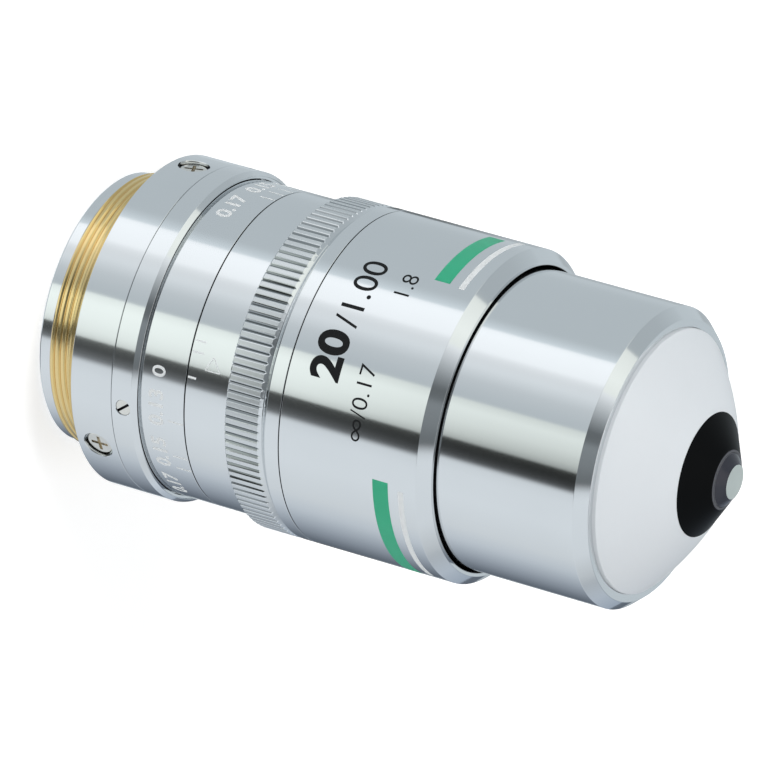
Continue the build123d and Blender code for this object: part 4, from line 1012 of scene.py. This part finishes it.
def card(name, low, high, tints, azimuths, rows):
    """A patch of a sphere from elevation low to high, seen only in reflections.

    rows maps an elevation to the brightness at each azimuth. Between them it runs evenly, and beyond
    the rows it stays as in the last one. tints are the colours at the first and the last azimuth.
    """
    azimuth = np.linspace(azimuths[0], azimuths[-1], CARD_COLUMNS)
    elevation = np.unique([*np.linspace(low, high, CARD_ROWS), *np.clip(list(rows), low, high)])
    along = np.array([np.interp(azimuth, azimuths, brightness) for brightness in rows.values()])
    weights = np.array([np.interp(elevation, list(rows), unit_row) for unit_row in np.eye(len(rows))])
    share = np.linspace(0, 1, CARD_COLUMNS)[:, None]
    tint = (1 - share) * np.array(tints[0]) + share * np.array(tints[1])
    shade = (weights.T @ along)[..., None] * tint
    e = np.radians(elevation)[:, None]
    points = around(CARD_R * np.cos(e), CARD_R * np.sin(e), from_front(azimuth))
    faces = grid_faces(len(elevation), CARD_COLUMNS, open_rows=1, open_columns=1)
    material, start = new_finish(name + "_finish")
    brightness = start.node("ShaderNodeAttribute", {"attribute_name": "shade"}, output="Color")
    glow = start.node("ShaderNodeEmission", inputs={"Color": brightness, "Strength": 1.0})
    start.node("ShaderNodeOutputMaterial", inputs={"Surface": glow})
    made = mesh_object(name, points, faces, material)
    made.data.attributes.new("shade", "FLOAT_VECTOR", "POINT").data.foreach_set("vector", shade.ravel())
    made.visible_camera = made.visible_diffuse = made.visible_shadow = made.visible_transmission = False


COOL, NEUTRAL, GREENISH = (0.90, 1.0, 1.06), (0.96, 1.0, 1.03), (0.93, 1.0, 0.965)
PALE_BLUE, DEEP_BLUE, CREAM = (0.935, 1.0, 1.05), (0.83, 1.0, 1.24), (0.954, 1.0, 0.963)
FLOOR_LINE, WALL_LOW, WALL_HIGH = -5.0, -75.0, 72.0

# %% Cards below the level of the object: they draw the barrels
wall_cards = [
    ("back_grey", (COOL, COOL), (168, 200),
     {-27.3: (0.64, 0.66), -26.4: (0.18, 0.18), -25.8: (0.18, 0.18), -25.1: (0.50, 0.50)}),
    ("upper_grey", (COOL, COOL), (-160, -152, -138, -72, -68, -62),
     {0: (0.60, 0.62, 0.59, 0.60, 0.67, 0.84)}),
    ("bright_strip", (NEUTRAL, NEUTRAL), (-62, -58, -43), {0: (1.15, 1.18, 1.12)}),
    ("upper_fade", (NEUTRAL, COOL), (-43, -40, -36, -30, -20, -5),
     {0: (1.12, 0.95, 0.87, 0.87, 0.68, 0.585)}),
    ("front_pale", (GREENISH, GREENISH), (-5, 2, 12, 20, 25.5),
     {-28: (1.05, 1.17, 1.12, 1.02, 0.84), -26: (0.95, 1.12, 1.10, 1.04, 0.80),
      -25: (0.80, 0.94, 0.80, 0.60, 0.38)}),
    ("black_flag", (GREENISH, PALE_BLUE), (25.5, 32, 36, 38.7),
     {-28: (0.12, 0.085, 0.15, 0.22), -26: (0.07, 0.06, 0.10, 0.16), -25: (0.025, 0.03, 0.05, 0.10)}),
    ("flag_edge", (PALE_BLUE, PALE_BLUE), (38.7, 42), {-28: (0.22, 0.79), -25: (0.10, 0.79)}),
    ("lower_pale", (PALE_BLUE, PALE_BLUE), (42, 50, 70, 85, 98), {0: (0.79, 0.84, 0.85, 0.81, 0.77)}),
    ("lower_shade", (PALE_BLUE, DEEP_BLUE), (98, 112, 124, 136, 148, 160, 168),
     {0: (0.77, 0.66, 0.50, 0.355, 0.235, 0.15, 0.15)})]
for card_name, *choices in wall_cards:
    card("card_" + card_name, WALL_LOW, FLOOR_LINE, *choices)
print(len(wall_cards), "wall cards")

# %% Cards above it: they draw the bevels and the shoulder faces
sky_cards = [
    ("sky_back", (COOL, COOL), (-192, -138), {0: (0.65, 0.65)}),
    ("sky_grey", (COOL, COOL), (-138, -117, -87), {0: (0.62, 0.52, 0.50)}),
    ("sky_cream", (CREAM, CREAM), (-87, -62, -48), {0: (0.95, 1.08, 1.00)}),
    ("sky_fall", (NEUTRAL, COOL), (-48, -40, -31, -20, -9), {0: (1.0, 0.76, 0.55, 0.33, 0.16)}),
    ("sky_dark", (COOL, COOL), (-9, 0, 6, 26, 42), {0: (0.15, 0.17, 0.28, 0.24, 0.165)}),
    ("sky_edge", (PALE_BLUE, PALE_BLUE), (42, 49.5), {0: (0.17, 0.72)}),
    ("sky_pale", (PALE_BLUE, PALE_BLUE), (49.5, 56, 100, 117),
     {9: (0.74, 0.84, 0.87, 0.86), 21: (0.74, 0.84, 0.80, 0.64)}),
    ("sky_shade", (PALE_BLUE, DEEP_BLUE), (117, 128, 142, 168),
     {9: (0.86, 0.76, 0.54, 0.35), 21: (0.64, 0.46, 0.31, 0.15)})]
for card_name, *choices in sky_cards:
    card("card_" + card_name, FLOOR_LINE, WALL_HIGH, *choices)
print(len(sky_cards), "cards above the level of the object")

# %% [markdown]
# The floor is lit paper that also glows a little to the camera, so that it reaches white outside the
# shadow and darkens within it. Metal and glass see the white room in its place.

# %% Floor, room and lamps
FLOOR_SPAN = 6000.0
PAPER_GLOW = 0.50
ROOM_LIGHT = 0.42
floor_finish, start = new_finish("paper_floor")
path = start.node("ShaderNodeLightPath")
place = start.node("ShaderNodeTexCoord", output="Object")
fibre = place.cloud(0.02)
paper = start.node("ShaderNodeBsdfDiffuse", inputs={
    "Color": fibre.blend((0.86, 0.86, 0.86), (0.84, 0.84, 0.84))})
glow = start.node("ShaderNodeEmission", inputs={
    "Color": (1, 1, 1), "Strength": path.out("Is Camera Ray") * PAPER_GLOW})
both = start.node("ShaderNodeAddShader", inputs={0: paper, 1: glow})
start.node("ShaderNodeOutputMaterial", inputs={"Surface": both})
sides = np.array([[-1, -1], [1, -1], [1, 1], [-1, 1]]) * FLOOR_SPAN
floor_corners = np.column_stack([sides, np.full(4, REAR_Z)])
floor = mesh_object("floor", floor_corners, np.array([[0, 1, 2, 3]]), floor_finish)
floor.visible_glossy = False

room = bpy.data.worlds.new("white_room")
scene.world = room
room.use_nodes = True
room.node_tree.nodes.clear()
start = Shade(room.node_tree)
path = start.node("ShaderNodeLightPath")
seen = path.maths("MAXIMUM", path.out("Is Camera Ray"), path.out("Is Glossy Ray"))
seen = path.maths("MAXIMUM", seen, path.out("Is Transmission Ray"))
air = start.node("ShaderNodeBackground", inputs={
    "Color": (1, 1, 1), "Strength": seen * (1 - ROOM_LIGHT) + ROOM_LIGHT})
start.node("ShaderNodeOutputWorld", inputs={"Surface": air})


def softbox(name, place, size, watts):
    """A square lamp that looks at the middle of the object and isn't mirrored in it."""
    lamp = bpy.data.lights.new(name, "AREA")
    lamp.size, lamp.energy = size, watts
    made = add_object(name, lamp)
    made.location = Vector(place)
    made.rotation_euler = (Vector((0, 0, 0.04)) - made.location).to_track_quat("-Z", "Y").to_euler()
    made.visible_glossy = False


softbox("key_light", (-0.55, -0.45, 0.75), 0.5, 3.85)
softbox("fill_light", (0.70, -0.55, 0.45), 0.6, 2.0)
softbox("back_light", (0.1, 0.8, 0.6), 0.6, 1.85)
print("room, floor and three lamps are set")

# %% [markdown]
# ## Camera
#
# The camera stands where the photo was taken from, about 26 degrees above the shoulder plane, and is
# rolled so that the upright object lies across the frame.

# %% Camera
CAMERA_PLACE, FOCAL_MM, FILM_MM = (0.000587, -0.84555, 0.45254), 390.46, 36.0
right = Vector((-0.272529, 0.428336, 0.861543))
up = Vector((-0.962147, -0.121327, -0.244033))
back = Vector((0.0, -0.895437, 0.445188))
lens_data = bpy.data.cameras.new("camera")
lens_data.sensor_width, lens_data.lens = FILM_MM, FOCAL_MM
lens_data.clip_start, lens_data.clip_end = 0.05, 50.0
camera = add_object("camera", lens_data)
turn = Matrix((right, up, back)).transposed().to_4x4()
camera.matrix_world = Matrix.Translation(CAMERA_PLACE) @ turn
scene.camera = camera
print("camera at", [round(v, 3) for v in camera.location])
